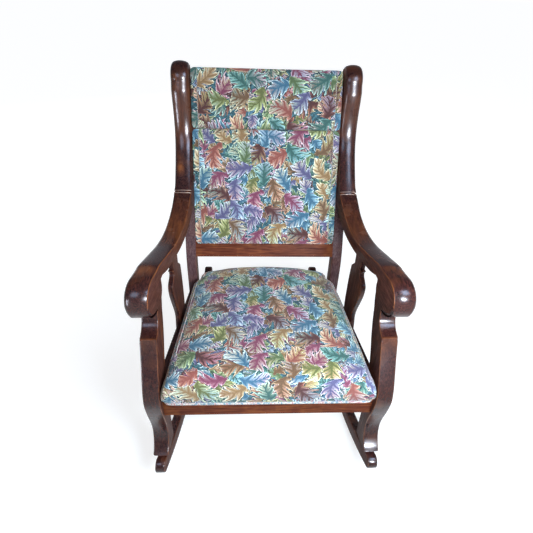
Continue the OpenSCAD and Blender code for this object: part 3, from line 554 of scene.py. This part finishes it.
# What counts as a board's flat face: how squarely it faces, and how large or deep it is
capFacing = {"find": 0.9, "keep": 0.8, "inner": 0.97, "area": 0.2, "depth": 0.02}
# The crown is less on an underside, at the ear's foot and on its rear, and more on the arm's front half
crowning = {"upFrom": 0.45, "upOver": 0.6, "footShare": 0.45, "footOver": 0.07, "rearShare": 0.3,
            "rearWay": 0.3, "topWay": 0.2, "armFront": 1.35, "armRear": 0.8, "armMiddle": 0.09}
# Where the edge of the arm takes the larger radius of its scroll
scrollFrom = {"y": 0.06, "forward": -0.05, "turn": (-0.3, 0.5)}
rubsAndSheen = [  # where hands and sleeves have rubbed the finish orange, and where a sheen is painted on the arms' rear tops: place, radius, strength
    ((-0.310, -0.200, 0.645), 0.024, 0.38), ((-0.288, -0.195, 0.645), 0.020, 0.32),
    ((0.290, -0.188, 0.645), 0.018, 0.30), ((0.310, -0.206, 0.645), 0.018, 0.26),
    ((-0.278, 0.268, 0.850), 0.120, 0.30), ((0.272, 0.275, 0.870), 0.100, 0.12),
    # a painted sheen: these two broad spots on the arms' rear tops stand for light that the finish mirrors
    # there
    ((-0.262, 0.040, 0.612), 0.100, 0.30), ((0.262, 0.030, 0.612), 0.100, 0.20),
    ((0.285, -0.238, 0.647), 0.016, 0.16), ((-0.263, 0.221, 0.707), 0.014, 0.60),
    ((-0.276, 0.250, 0.760), 0.016, 0.50), ((-0.270, 0.300, 0.940), 0.018, 0.45),
]


def ease(value, low, high):  # 0 below low, 1 above high, smooth between
    t = min(1, max(0, (value - low) / (high - low)))
    return t * t * (3 - 2 * t)


def crownShare(kind, p, normal):
    if kind == "ear":
        foot = crowning["footShare"]
        rise = min(1, foot + (1 - foot) * max(0, p.z - bead["z"]) / crowning["footOver"])
        faced = normal.y < crowning["rearWay"] or normal.z > crowning["topWay"]
        return rise * (1.0 if faced else crowning["rearShare"])
    if kind == "arm":
        up = min(1, max(0, (normal.z + crowning["upFrom"]) / crowning["upOver"]))
        return up * (crowning["armFront"] if p.y < crowning["armMiddle"] else crowning["armRear"])
    return 1.0


def fromBead(p):
    return hypot(p.y - bead["y"], p.z - bead["z"])


def readyBoard(node, look):  # the CAD board as flats, without the joint's groove: its bead is a piece apart
    mesh = opened(nodes[node].data)
    for vert in mesh.verts:
        p = levelFromPlaced @ vert.co
        if fromBead(p) < bead["groove"]:
            vert.co = placed @ Vector((p.x, bead["y"], bead["z"]))
    bmesh.ops.remove_doubles(mesh, verts=mesh.verts, dist=joining["weld"])
    joinFlats(mesh)
    bmesh.ops.remove_doubles(mesh, verts=mesh.verts, dist=look.get("merge", rounding["merge"]))
    return mesh


def boardCaps(mesh, side):  # middle and normal of the inner and the outer flat face
    caps = []
    for sign in (-1, 1):
        faces = [f for f in mesh.faces if f.normal.x * side * sign > capFacing["find"]]
        least = capFacing["area"] * max(f.calc_area() for f in faces)
        large = [f for f in faces if f.calc_area() > least]
        cap = max(large, key=lambda f: sign * side * f.calc_center_median().x)
        caps.append((cap.calc_center_median(), cap.normal.copy()))
    return caps


def crownMoves(mesh, kind, inner, outer, others, partner, isCap):  # how far each point of the rim sinks
    look, moves = boards[kind], []
    for vert in mesh.verts:
        rim = [f.normal for f in vert.link_faces if not isCap(f)]
        touched = [name for name, tree in others.items()
                   if tree.find_nearest(vert.co, rounding["touching"])[0]]
        p = levelFromPlaced @ vert.co
        atJoint = kind in partners and fromBead(p) < bead["near"]
        if not rim or (touched and not (atJoint and touched == [partner])):
            continue
        normal = sum(rim, Vector()).normalized()
        fromInner = abs((vert.co - inner[0]).dot(inner[1]))
        fromOuter = abs((vert.co - outer[0]).dot(outer[1]))
        across = min(1, abs(2 * fromInner / (fromInner + fromOuter) - 1))
        depth = bead["crown"] if atJoint else look["crown"] * crownShare(kind, p, normal)
        if atJoint:
            normal = levelWay @ Vector(bead["facing"])
        moves.append((vert, normal * depth * across ** rounding["crownPower"]))
    return moves


def weighEdges(mesh, kind, outer, others, widest, isCap):  # each edge's radius; returns the thin ones
    look, rubbed = boards[kind], []
    layer = mesh.edges.layers.float.new("bevel_weight_edge")
    for edge in mesh.edges:
        if len(edge.link_faces) != 2 or edge.calc_face_angle(0) < radians(rounding["bends"]):
            continue
        middle = (edge.verts[0].co + edge.verts[1].co) / 2
        flats = [f for f in edge.link_faces if isCap(f)]
        touched = any(tree.find_nearest(middle, rounding["touching"])[0] for tree in others.values())
        if len(flats) == 2 or touched:
            continue
        radius = look["corner"]
        if flats:
            radius = look["outer"] if flats[0].normal.dot(outer[1]) > 0 else look["inner"]
            facing = [f.normal for f in edge.link_faces if f not in flats]
            if (kind == "arm" and facing and (levelFromPlaced @ middle).y < scrollFrom["y"]
                    and facing[0].y < scrollFrom["forward"]):
                radius += (look["scroll"] - radius) * ease(-facing[0].z, *scrollFrom["turn"])
        edge[layer] = radius / widest
        if radius < rounding["thinEdge"]:
            for t in (0, 0.25, 0.5, 0.75):
                rubbed.append((edge.verts[0].co.lerp(edge.verts[1].co, t), radius))
    return rubbed


def dropStrays(data, own, across):  # corners that the rounding threw past the outline go back to a neighbour
    mesh = opened(data)

    def isStray(vert):
        return (fromBead(levelFromPlaced @ vert.co) > bead["apart"]
                and own.find_nearest(vert.co)[3] > rounding["stray"]
                and not own.ray_cast(vert.co + across * beyond, -across, 2 * beyond)[0])

    beyond = rounding["thickest"]
    strays = {vert for vert in mesh.verts if isStray(vert)}
    for _ in range(rounding["rounds"]):  # a stray amid strays waits until one beside it is back
        for vert in sorted(strays, key=lambda v: v.index):
            near = [edge.other_vert(vert) for edge in vert.link_edges if edge.other_vert(vert) not in strays]
            if near:
                vert.co = min(near, key=lambda v: ((v.co - vert.co).length, v.index)).co
                strays.discard(vert)
    bmesh.ops.remove_doubles(mesh, verts=mesh.verts, dist=joining["again"])
    closed(mesh, data)


def wearBoard(data, rub, rubbed):  # how far the finish is rubbed away, along thin edges and where hands rest, with a painted sheen on the arms' rear tops
    tree = KDTree(len(rubbed))
    for i, (co, radius) in enumerate(rubbed):
        tree.insert(co, i)
    tree.balance()
    wear = data.attributes.new("wear", "FLOAT", "POINT")
    for i, vert in enumerate(data.vertices):
        _, index, distance = tree.find(vert.co)
        edge = rub * min(1, max(0, 1 - distance / rubbed[index][1]) * rounding["wearReach"])
        spots = [power * max(0, 1 - ((vert.co - Vector(place)).length / radius) ** 2)
                 for place, radius, power in rubsAndSheen]
        wear.data[i].value = max([edge] + spots)


def dressBoard(node, kind, side):
    look = boards[kind]
    own = treeOf(nodes[node].data)
    others = {name: treeOf(nodes[name].data) for name in nodes if name != node and "cushion" not in name}
    mesh = readyBoard(node, look)
    inner, outer = boardCaps(mesh, side)
    thick = (outer[0] - inner[0]).dot(outer[1])
    low, high = (look["inner"] + rounding["room"]) / thick, 1 - (look["outer"] + rounding["room"]) / thick
    for i in range(look["cuts"] - 1):  # the cuts stay clear of the roundings
        share = low + (high - low) * (i / (look["cuts"] - 2) if look["cuts"] > 2 else 0.5)
        cutAcross(mesh, inner[0].lerp(outer[0], share), (-inner[1]).lerp(outer[1], share))
    mesh.normal_update()

    def isCap(face):
        return abs(face.normal.dot(outer[1])) > capFacing["keep"]

    def isInner(face):
        depth = abs((face.calc_center_median() - inner[0]).dot(inner[1]))
        return face.normal.dot(inner[1]) > capFacing["inner"] and depth < capFacing["depth"]

    if look["crown"]:
        partner = node.replace(kind, partners.get(kind, "none"))
        for vert, move in crownMoves(mesh, kind, inner, outer, others, partner, isCap):
            vert.co -= move
    mesh.normal_update()
    widest = max(look["outer"], look["inner"], look.get("scroll", 0))
    rubbed = weighEdges(mesh, kind, outer, others, widest, isCap)
    data = bpy.data.meshes.new(node + "_dressed")
    closed(mesh, data)
    piece = addObject(node + "_dressed", data)
    round = piece.modifiers.new("round", "BEVEL")
    round.limit_method = "WEIGHT"
    round.width = widest
    round.segments = rounding["segments"]
    round.use_clamp_overlap = False
    applied(piece)
    dropStrays(piece.data, own, outer[1])
    for vert in piece.data.vertices:  # nothing stands proud of the board that was cut
        place, normal, _, _ = own.find_nearest(vert.co)
        if (vert.co - place).dot(normal) > rounding["proud"]:
            vert.co = place
    wearBoard(piece.data, look["rub"], rubbed)
    shade(piece, look["wood"], innerArm if look["wood"] == armWood else innerUpright, isInner)
    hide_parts(node)
    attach(piece, "root")


def traced(tree, starts, way, reach=1):  # where rays from these places meet a surface
    hits = [tree.ray_cast(start, way, reach)[0] for start in starts]
    return [hit for hit in hits if hit]


def spaced(low, high, steps):
    return [low + (high - low) * i / steps for i in range(steps + 1)]


def ridgePath(node, side, lift):  # across the front of the joint, just proud of the crowned wood
    facing = Vector(bead["facing"])
    along = Vector((0, facing.z, -facing.y))
    away = along * lift + facing * bead["before"]
    starts = [placed @ (Vector((side * x, bead["y"], bead["z"])) + away)
              for x in spaced(bead["inner"], bead["outer"], bead["steps"])]
    tree = treeOf(bpy.data.objects[node + "_dressed"].data)
    proud = levelWay @ facing * bead["ridge"] * bead["sunk"]
    reach = bead["before"] + bead["behind"]
    return [place + proud for place in traced(tree, starts, levelWay @ -facing, reach)]


for name in sorted(nodes):
    side, _, kind = name.partition("_")
    if kind in boards:
        dressBoard(name, kind, -1 if side == "left" else 1)
for side, hand in (("left", -1), ("right", 1)):
    ridges = [ridgePath(side + "_ear", hand, bead["apart"] / 2),
              ridgePath(side + "_arm", hand, -bead["apart"] / 2)]
    tube(side + "_joint_bead", ridges, bead["ridge"], beadHighlightWood)
print("boards rounded over")


# The seat's underside and spring well (half width, front, rear, top) in metres, and what still counts as held
seatRoom = {"topZ": 0.402, "restZ": 0.3034, "widestZ": 0.340, "well": (0.219, 0.006, 0.378, 0.355),
            "heldOver": 0.006}
backRoom = {"restY": -0.0060}  # the rear of the back pads
# How the seat's cloth lies flat: the share of a drop that counts, and where sides, front and rear turn down
seatCloth = {"drop": 0.9, "side": (0.17, 0.26), "sideFront": (0.02, 0.06), "front": 0.09, "frontOver": 0.10,
             "rear": (0.36, 0.43)}
# The back's cloth: its borders and its head section are cut from other parts of it
backCloth = {"borderX": 0.2065, "borderAway": 0.37, "borderShare": 0.94, "headZ": 0.402, "headAway": 0.115}


def seatFlat(co):  # what hangs down at the front and sides is turned outwards
    p = levelFromPlaced @ co
    drop = max(0.0, seatRoom["topZ"] - p.z) * seatCloth["drop"]
    sideways = ease(abs(p.x), *seatCloth["side"]) * (1 - ease(-p.y, *seatCloth["sideFront"]))
    forwards = ease(seatCloth["front"] - p.y, 0.0, seatCloth["frontOver"])
    backwards = ease(p.y, *seatCloth["rear"])
    return (p.x + (drop if p.x > 0 else -drop) * sideways * (1 - backwards),
            p.y - drop * forwards + drop * backwards)


def backFlat(co):
    p = backFromPlaced @ co
    edge = abs(p.x) > backCloth["borderX"]
    head = backCloth["headAway"] if p.z > backCloth["headZ"] else 0
    return (p.x + (backCloth["borderAway"] if edge else 0),
            p.z * (backCloth["borderShare"] if edge else 1) + head)


def seatHeld(co):  # where the seat rests on its rails or lies over the springs
    p = levelFromPlaced @ co
    half, front, rear, top = seatRoom["well"]
    inWell = p.z < top and abs(p.x) < half and front < p.y < rear
    return p.z < seatRoom["restZ"] + seatRoom["heldOver"] or inWell


def backHeld(co):
    return (backFromPlaced @ co).y > backRoom["restY"]


# Stuffed covers: each solid is drawn in and blown up as a cloth, held where it rests, by the cap at most
pads = {
    "seat_cushion": {"voxel": 0.0065, "drawIn": 0.0035, "cap": 0.0090, "fill": 0.8,
                     "flat": seatFlat, "held": seatHeld},
    "back_cushion": {"voxel": 0.0050, "drawIn": 0.0020, "cap": 0.0060, "fill": 0.6,
                     "flat": backFlat, "held": backHeld},
    "head_cushion": {"voxel": 0.0050, "drawIn": 0.0020, "cap": 0.0070, "fill": 0.7,
                     "flat": backFlat, "held": backHeld},
}
# The cloth as the simulation takes it, and how far a cover may stand out of its solid or is drawn back to it
swelling = {"frames": 20, "quality": 4, "pressure": 4.0, "stiff": 20, "bend": 0.6, "softened": (0.5, 3),
            "proud": 0.0008, "back": 0.6}


def swell(piece, look, toLocal, thick):  # the simulation of one stuffed cover, thinned along one axis first
    fromLocal = toLocal.inverted()
    for vert in piece.data.vertices:  # the remesh's grid lies square to the cover
        p = toLocal @ vert.co
        if not look["held"](vert.co):
            p[thick[0]] -= thick[1] * look["drawIn"]
        vert.co = p
    remesh = piece.modifiers.new("remesh", "REMESH")
    remesh.mode = "VOXEL"
    remesh.voxel_size = look["voxel"]
    smooth = piece.modifiers.new("smooth", "SMOOTH")
    smooth.factor, smooth.iterations = swelling["softened"]
    applied(piece)
    held = piece.vertex_groups.new(name="held")
    held.add([v.index for v in piece.data.vertices if look["held"](fromLocal @ v.co)], 1.0, "REPLACE")
    start = [v.co.copy() for v in piece.data.vertices]
    cover = piece.modifiers.new("cover", "CLOTH").settings
    cover.quality = swelling["quality"]
    cover.use_pressure = True
    cover.uniform_pressure_force = swelling["pressure"]
    cover.effector_weights.gravity = 0
    cover.vertex_group_mass = "held"
    cover.tension_stiffness = cover.compression_stiffness = swelling["stiff"]
    cover.bending_stiffness = swelling["bend"]
    scene.frame_start, scene.frame_end = 1, swelling["frames"]
    for step in range(1, swelling["frames"] + 1):
        scene.frame_set(step)
    blown = piece.evaluated_get(bpy.context.evaluated_depsgraph_get()).to_mesh()
    moved = [v.co.copy() for v in blown.vertices]
    piece.modifiers.clear()
    scene.frame_set(1)
    for vert, here, there in zip(piece.data.vertices, start, moved):
        move = there - here
        vert.co = fromLocal @ (here + move * min(1, look["cap"] / max(move.length, 1e-9)))
    piece.vertex_groups.clear()


def extent(data, toLocal):
    local = [toLocal @ v.co for v in data.vertices]
    return [(min(p[k] for p in local), max(p[k] for p in local)) for k in range(3)]


def fitTo(piece, node, toLocal):  # the cover's reach is the solid's again
    was, wanted = extent(piece.data, toLocal), extent(nodes[node].data, toLocal)
    fromLocal = toLocal.inverted()
    for vert in piece.data.vertices:
        p = toLocal @ vert.co
        vert.co = fromLocal @ Vector([wanted[k][0] + (p[k] - was[k][0]) * (wanted[k][1] - wanted[k][0])
                                      / (was[k][1] - was[k][0]) for k in range(3)])


# The seat's front corners, and its rear: where each change begins and ends, along y, across x, over the rest
seatShape = {"half": 0.274, "front": -0.067, "cornerWas": 0.030, "square": 0.22, "above": 0.004,
             "spread": 0.020, "spreadY": (0.22, 0.39), "spreadEnd": (0.398, 0.403), "spreadX": (0.15, 0.24),
             "fall": 0.012, "fallY": (0.22, 0.40), "fallX": (0.10, 0.23), "fallZ": (0.01, 0.05),
             "arch": 0.012, "archY": (0.24, 0.40), "archX": (0.0, 0.21), "archZ": (0.03, 0.075)}


def shapeSeat(co):  # squarer front corners, and rear corners that spread and fall away beside the stiles
    p, look, rest = levelFromPlaced @ co, seatShape, seatRoom["restZ"]
    corner = look["cornerWas"]
    inner = (look["half"] - corner, look["front"] + corner)
    away = (abs(p.x) - inner[0], inner[1] - p.y)
    if away[0] > 0 and away[1] > 0:
        lean = min(away) / max(away)
        p.x += (1 if p.x > 0 else -1) * away[0] * lean * look["square"]
        p.y -= away[1] * lean * look["square"]
    if p.z > rest + look["above"]:
        rear = ease(p.y, *look["spreadY"]) * (1 - ease(p.y, *look["spreadEnd"]))
        p.x *= 1 + look["spread"] * rear * ease(abs(p.x), *look["spreadX"])
        p.z -= (look["fall"] * ease(p.y, *look["fallY"]) * ease(abs(p.x), *look["fallX"])
                * ease(p.z, rest + look["fallZ"][0], rest + look["fallZ"][1]))
        p.z += (look["arch"] * ease(p.y, *look["archY"]) * (1 - ease(abs(p.x), *look["archX"]))
                * ease(p.z, rest + look["archZ"][0], rest + look["archZ"][1]))
    return placed @ p


def stuffedPiece(node, look):
    piece = mergedCopy(node)
    isSeat = node == "seat_cushion"
    toLocal = levelFromPlaced if isSeat else backFromPlaced
    levels = 2  # set to 1 below before it is used
    swell(piece, look, toLocal, (2, 1) if isSeat else (1, -1))
    levels = 1
    smooth = piece.modifiers.new("smooth", "SUBSURF")
    smooth.levels = smooth.render_levels = levels
    applied(piece)
    fitTo(piece, node, toLocal)
    own = treeOf(nodes[node].data)
    for vert in piece.data.vertices:  # the cover keeps to the room that the solid gives it
        place, normal, _, _ = own.find_nearest(vert.co)
        proud = (vert.co - place).dot(normal)
        if proud > swelling["proud"]:
            vert.co -= normal * (proud - swelling["proud"])
        elif isSeat and not look["held"](vert.co):
            vert.co = vert.co.lerp(place, swelling["back"])
        if isSeat:
            vert.co = shapeSeat(vert.co)
    piece.data.polygons.foreach_set("use_smooth", [True] * len(piece.data.polygons))
    piece.data.materials.clear()
    piece.data.materials.append(tapestryCloth)
    clothMap(piece, look["flat"])
    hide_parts(node)
    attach(piece, "root")
    return piece


stuffed = {node: stuffedPiece(node, look) for node, look in pads.items()}
print("stuffed covers made")


# Braids along the seat's tacked edges: a pair down each side and one round its front hem; metres, and degrees
# for the turn of the hem round the seat's middle. The stitches of the hem and of the back's borders lie on
# the covers too
braids = {"seatShares": (0.972, 0.930), "seatFrom": 0.035, "seatTo": 0.470, "seatSteps": 44, "radius": 0.0013,
          "sunk": 0.0004, "hemZ": 0.0060, "hemRadius": 0.0034, "hemOut": 0.0024, "hemTurn": (-142, -38),
          "hemSteps": 80, "middleY": 0.20, "stitchZ": 0.0150, "borderSteps": 30, "borderEnd": 0.006}
outside = {"seat": 0.6, "side": 0.5, "back": 0.2}  # from how far off the covers are looked for


def seatHemLine(height):
    path, seat = [], treeOf(stuffed["seat_cushion"].data)
    middle = Vector((0, braids["middleY"], seatRoom["restZ"] + height))
    for turn in spaced(*braids["hemTurn"], braids["hemSteps"]):
        way = Vector((cos(radians(turn)), sin(radians(turn)), 0))
        path += traced(seat, [placed @ (middle + way * outside["seat"])], levelWay @ -way)
    return path


def makeSeatBraids():
    seat = treeOf(stuffed["seat_cushion"].data)
    down, rearwards = levelWay @ Vector((0, 0, -1)), levelWay @ Vector((0, 1, 0))
    paths = []
    for side in (-1, 1):
        inwards = levelWay @ Vector((-side, 0, 0))
        for share in braids["seatShares"]:
            path = []
            for y in spaced(braids["seatFrom"], braids["seatTo"], braids["seatSteps"]):
                start = placed @ Vector((side * outside["side"], y, seatRoom["widestZ"]))
                above = [placed @ Vector((edge.x * share, y, outside["seat"]))
                         for edge in traced(seat, [start], inwards)]
                path += [place - down * (braids["radius"] - braids["sunk"])
                         for place in traced(seat, above, down)]
            paths.append(path)
    tube("seat_side_braids", paths, braids["radius"], gimpBraid)
    hem = [place - rearwards * braids["hemOut"] for place in seatHemLine(braids["hemZ"])]
    tube("seat_hem_braid", [hem], braids["hemRadius"], gimpBraid)


def backBorderLines():
    paths = []
    for node in ("back_cushion", "head_cushion"):
        tree = treeOf(stuffed[node].data)
        low, high = extent(stuffed[node].data, backFromPlaced)[2]
        for side in (-1, 1):
            starts = [onBack @ Vector((side * backCloth["borderX"], -outside["back"], z)) for z in
                      spaced(low + braids["borderEnd"], high - braids["borderEnd"], braids["borderSteps"])]
            paths.append(traced(tree, starts, backWay @ Vector((0, 1, 0))))
    return paths


makeSeatBraids()
print("braids laid")

# Flat cloths and webbing: each keeps the solid's outline and gets thin soft edges; the dust cover sags a bit
# between its supports; a step is the width of the squares that a cloth is cut into
sheets = {
    "outer_back_cover": {"cloth": tapestryCloth, "slot": "tapestry", "held": "stretched",
                         "on": ["back_bottom_rail", "back_top_rail"], "step": 0.02},
    "dust_cover": {"cloth": blackCloth, "slot": "black_cloth", "sag": 0.003, "held": "stretched",
                   "on": ["front_seat_rail", "rear_seat_rail"], "step": 0.02},
    "spring_burlap": {"cloth": juteCloth, "slot": "jute", "held": "stretched", "on": ["seat_springs"],
                      "step": 0.02},
    "seat_webbing": {"cloth": juteCloth, "slot": "jute"},
    "back_webbing": {"cloth": juteCloth, "slot": "jute"},
}
softEdge = {"share": 0.22, "bends": 50}  # of the cloth's thickness, and degrees


def flatCloth(node, look):
    piece = mergedCopy(node)
    toFlat = backFromPlaced if "back" in node else levelFromPlaced
    fromFlat = toFlat.inverted()
    mesh = opened(piece.data)
    joinFlats(mesh)
    local = [toFlat @ v.co for v in mesh.verts]
    lows = [min(p[k] for p in local) for k in range(3)]
    sizes = [max(p[k] for p in local) - lows[k] for k in range(3)]
    thin = min(range(3), key=lambda k: sizes[k])
    wide = [k for k in range(3) if k != thin]
    for k in wide if "step" in look else []:
        for i in range(1, int(sizes[k] / look["step"])):
            cut, way = Vector((0, 0, 0)), Vector((0, 0, 0))
            cut[k] = lows[k] + i * look["step"]
            way[k] = 1
            cutAcross(mesh, fromFlat @ cut, fromFlat.to_3x3() @ way)
    for vert in mesh.verts if "sag" in look else []:
        p = toFlat @ vert.co
        shares = [(p[k] - lows[k]) / sizes[k] for k in wide]
        hang = min(1, 4 * shares[0] * (1 - shares[0])) * min(1, 4 * shares[1] * (1 - shares[1]))
        vert.co += fromFlat.to_3x3() @ Vector((0, 0, -look["sag"])) * hang
    closed(mesh, piece.data)
    soft = piece.modifiers.new("soft edges", "BEVEL")
    soft.width = sizes[thin] * softEdge["share"]
    soft.segments = 1
    soft.limit_method = "ANGLE"
    soft.angle_limit = radians(softEdge["bends"])
    applied(piece)
    shade(piece, look["cloth"])
    if look["slot"] == "tapestry":
        clothMap(piece, lambda co: (backFromPlaced @ co).xz)
    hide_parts(node)
    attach(piece, "root")
    if "held" in look:
        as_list(look["on"])


for node, look in sheets.items():
    flatCloth(node, look)
print("flat cloths made")

# What repeats along a line: tacks with domed heads and short stitches, one mesh a row; length is in widths
rows = {
    "cover_tacks": {"spacing": 0.030, "radius": 0.0026, "length": 1.0, "seed": 3, "material": screwSteel},
    "dust_tacks": {"spacing": 0.034, "radius": 0.0026, "length": 1.0, "seed": 5, "material": screwSteel},
    "hem_stitches": {"spacing": 0.0058, "radius": 0.0006, "length": 2.8, "seed": 8, "material": gimpBraid},
    "border_stitches": {"spacing": 0.0060, "radius": 0.0004, "length": 5.0, "seed": 13,
                        "material": gimpBraid},
}
rowLook = {"least": 0.86, "most": 1.10, "round": 10, "rings": 6, "inset": 0.006, "flush": 0.0004}


def makeRowGroup():
    tree = bpy.data.node_groups.new("beads along a line", "GeometryNodeTree")
    for name, kind in (("Line", "Geometry"), ("Spacing", "Float"), ("Radius", "Float"),
                       ("Length", "Float"), ("Seed", "Int"), ("Material", "Material")):
        tree.interface.new_socket(name, in_out="INPUT", socket_type="NodeSocket" + kind)
    tree.interface.new_socket("Row", in_out="OUTPUT", socket_type="NodeSocketGeometry")
    add = adder(tree)
    given = add("NodeGroupInput").outputs
    line = add("GeometryNodeMeshToCurve", {"Mesh": given["Line"]})
    spots = add("GeometryNodeResampleCurve", {"Curve": line, "Length": given["Spacing"]}, mode="LENGTH")
    ball = add("GeometryNodeMeshUVSphere",
               {"Segments": rowLook["round"], "Rings": rowLook["rings"], "Radius": given["Radius"]})
    stretch = add("CombineXYZ", {0: given["Length"], 1: 1.0, 2: 1.0})
    shaped = add("GeometryNodeTransform", {"Geometry": ball, "Scale": stretch})
    heading = add("GeometryNodeInputTangent")
    turned = add("FunctionNodeAlignRotationToVector", {"Vector": heading}, axis="X")
    uneven = add("FunctionNodeRandomValue",
                 {2: rowLook["least"], 3: rowLook["most"], "Seed": given["Seed"]}, data_type="FLOAT")
    beads = add("GeometryNodeInstanceOnPoints", {
        "Points": spots, "Instance": shaped, "Rotation": turned, "Scale": uneven.outputs[1]})
    real = add("GeometryNodeRealizeInstances", {"Geometry": beads})
    finished = add("GeometryNodeSetMaterial", {"Geometry": real, "Material": given["Material"]})
    add("NodeGroupOutput", {"Row": finished})
    return tree


rowGroup = makeRowGroup()


def makeRow(name, paths):
    look = rows[name]
    points = [point for path in paths for point in path]
    edges, first = [], 0
    for path in paths:
        edges += [(first + i, first + i + 1) for i in range(len(path) - 1)]
        first += len(path)
    data = bpy.data.meshes.new(name + "_line")
    data.from_pydata(points, edges, [])
    piece = addObject(name, data)
    row = piece.modifiers.new("row", "NODES")
    row.node_group = rowGroup
    for socket in rowGroup.interface.items_tree:
        if socket.name.lower() in look:
            row[socket.identifier] = look[socket.name.lower()]
    applied(piece)
    piece.data.polygons.foreach_set("use_smooth", [True] * len(piece.data.polygons))
    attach(piece, "root")


def outlineOf(node, toFlat, axis, sign):  # the rim of the solid's outer face, a little inside it
    local = [toFlat @ v.co for v in nodes[node].data.vertices]
    level = max(sign * p[axis] for p in local)
    face = [p for p in local if sign * p[axis] > level - rowLook["flush"]]
    wide = [k for k in range(3) if k != axis]
    middle = [(min(p[k] for p in face) + max(p[k] for p in face)) / 2 for k in wide]
    corners = {}
    for p in face:
        away = (p[wide[0]] - middle[0], p[wide[1]] - middle[1])
        quarter = (away[0] > 0, away[1] > 0)
        if quarter not in corners or abs(away[0]) + abs(away[1]) > corners[quarter][0]:
            corners[quarter] = (abs(away[0]) + abs(away[1]), p)
    rim = []
    for quarter in ((False, False), (True, False), (True, True), (False, True)):
        p = corners[quarter][1].copy()
        for k, centre in zip(wide, middle):
            p[k] -= rowLook["inset"] if p[k] > centre else -rowLook["inset"]
        rim.append(toFlat.inverted() @ p)
    return rim + rim[:1]


makeRow("cover_tacks", [outlineOf("outer_back_cover", backFromPlaced, 1, 1)])
makeRow("dust_tacks", [outlineOf("dust_cover", levelFromPlaced, 2, -1)])
makeRow("hem_stitches", [seatHemLine(braids["stitchZ"])])
makeRow("border_stitches", backBorderLines())
print("rows of tacks and stitches made")

# Room: a pale floor, a white surround and soft lamps at a plain level
room = {"floor": "#b4b4b4", "floorHalf": 14.0, "floorZ": -0.0005, "worldLight": 0.36, "tint": "#eaf1ff",
        "liftNear": 0.68, "liftFar": 0.845, "liftFrom": 0.6, "liftTo": 1.8,  # paler away from the chair: the lower glow near it is a painted shade round the chair
        "wall": 0.42, "ceiling": 0.14, "horizon": 0.06, "ceilingAt": 0.7}  # what glossy wood mirrors above it


def makeRoom():
    mesh = bpy.data.meshes.new("floor")
    half = room["floorHalf"]
    corners = [(x * half, y * half, room["floorZ"]) for x, y in ((-1, -1), (1, -1), (1, 1), (-1, 1))]
    mesh.from_pydata(corners, [], [(0, 1, 2, 3)])
    floor = addObject("floor", mesh)
    material, add = newMaterial("white studio floor")
    path = add("LightPath")
    seen = add("Math", {0: path.outputs["Is Camera Ray"], 1: path.outputs["Is Glossy Ray"]},
               operation="MAXIMUM")
    through = add("Math", {0: seen, 1: path.outputs["Is Transmission Ray"]}, operation="MAXIMUM")
    place = add("TexCoord").outputs["Object"]
    away = add("VectorMath", {0: place}, operation="LENGTH").outputs["Value"]
    rise = add("MapRange", {0: away, 1: room["liftFrom"], 2: room["liftTo"],
                            3: room["liftNear"], 4: room["liftFar"]})
    lift = add("Math", {0: through, 1: rise}, operation="MULTIPLY")
    plain = add("BsdfDiffuse", {"Color": linear(room["floor"])})
    glow = add("Emission", {"Color": (1, 1, 1, 1), "Strength": lift})
    both = add("AddShader", {0: plain, 1: glow})
    add("OutputMaterial", {"Surface": both})
    mesh.materials.append(material)
    world = bpy.data.worlds.new("surround")
    scene.world = world
    world.use_nodes = True
    world.node_tree.nodes.clear()
    add = adder(world.node_tree)
    path = add("LightPath")
    way = add("TexCoord").outputs["Generated"]
    height = add("SeparateXYZ", {0: way}).outputs[2]
    wall = add("MapRange", {0: height, 1: 0.0, 2: room["horizon"], 3: 1.0, 4: room["wall"]})
    ceiling = add("MapRange", {0: height, 1: room["horizon"], 2: room["ceilingAt"], 3: 1.0,
                               4: room["ceiling"] / room["wall"]})
    above = add("Math", {0: wall, 1: ceiling}, operation="MULTIPLY")
    mirrored = add("Mix", {0: path.outputs["Is Glossy Ray"], 2: room["worldLight"], 3: above})
    clear = add("Math",
                {0: path.outputs["Is Camera Ray"], 1: path.outputs["Is Transmission Ray"]},
                operation="MAXIMUM")
    strength = add("Mix", {0: clear, 2: mirrored, 3: 1.0})
    tint = add("Mix", {0: clear, 6: linear(room["tint"]), 7: (1, 1, 1, 1)}, data_type="RGBA")
    light = add("Background", {"Color": tint.outputs[2], "Strength": strength})
    add("OutputWorld", {"Surface": light})


lampsFace = (0, 0, 0.5)  # the middle of the chair
lamps = [  # name, place, size, watts, colour, and whether it acts on what shines or as plain light
    ("far window right", (1.12, -3.50, 1.90), (0.60, 0.70), 330, "#e8f1ff", "shine"),
    ("upper window right", (1.08, -1.60, 2.52), (0.9, 0.9), 56, "#c4dcff", "shine"),
    ("upper window left", (-1.02, -1.86, 2.28), (0.9, 0.9), 20, "#c4dcff", "shine"),
    ("low window left", (-1.90, -1.90, 0.62), (0.35, 0.9), 48, "#e0ecff", "shine"),
    ("near soft lamp", (0.30, -0.83, 0.99), (0.4, 0.4), 20.5, "#e0f1ff", "light"),
    ("ceiling", (0.0, -0.5, 2.9), (1.8, 1.8), 8, "#fff8f0", "light"),
    ("rear fill", (-0.9, 2.7, 1.7), (1.4, 1.4), 30, "#ffffff", "light"),
]


def makeLamps():
    for name, place, size, watts, colour, use in lamps:
        data = bpy.data.lights.new(name, "AREA")
        data.shape = "RECTANGLE"
        data.size, data.size_y = size
        data.energy = watts
        data.color = linear(colour)[:3]
        lamp = addObject(name, data)
        lamp.location = place
        lamp.rotation_euler = (Vector(lampsFace) - Vector(place)).to_track_quat("-Z", "Y").to_euler()
        lamp.visible_camera = False
        lamp.visible_glossy = use != "light"
        lamp.visible_diffuse = use != "shine"


makeRoom()
makeLamps()
print("room lit")
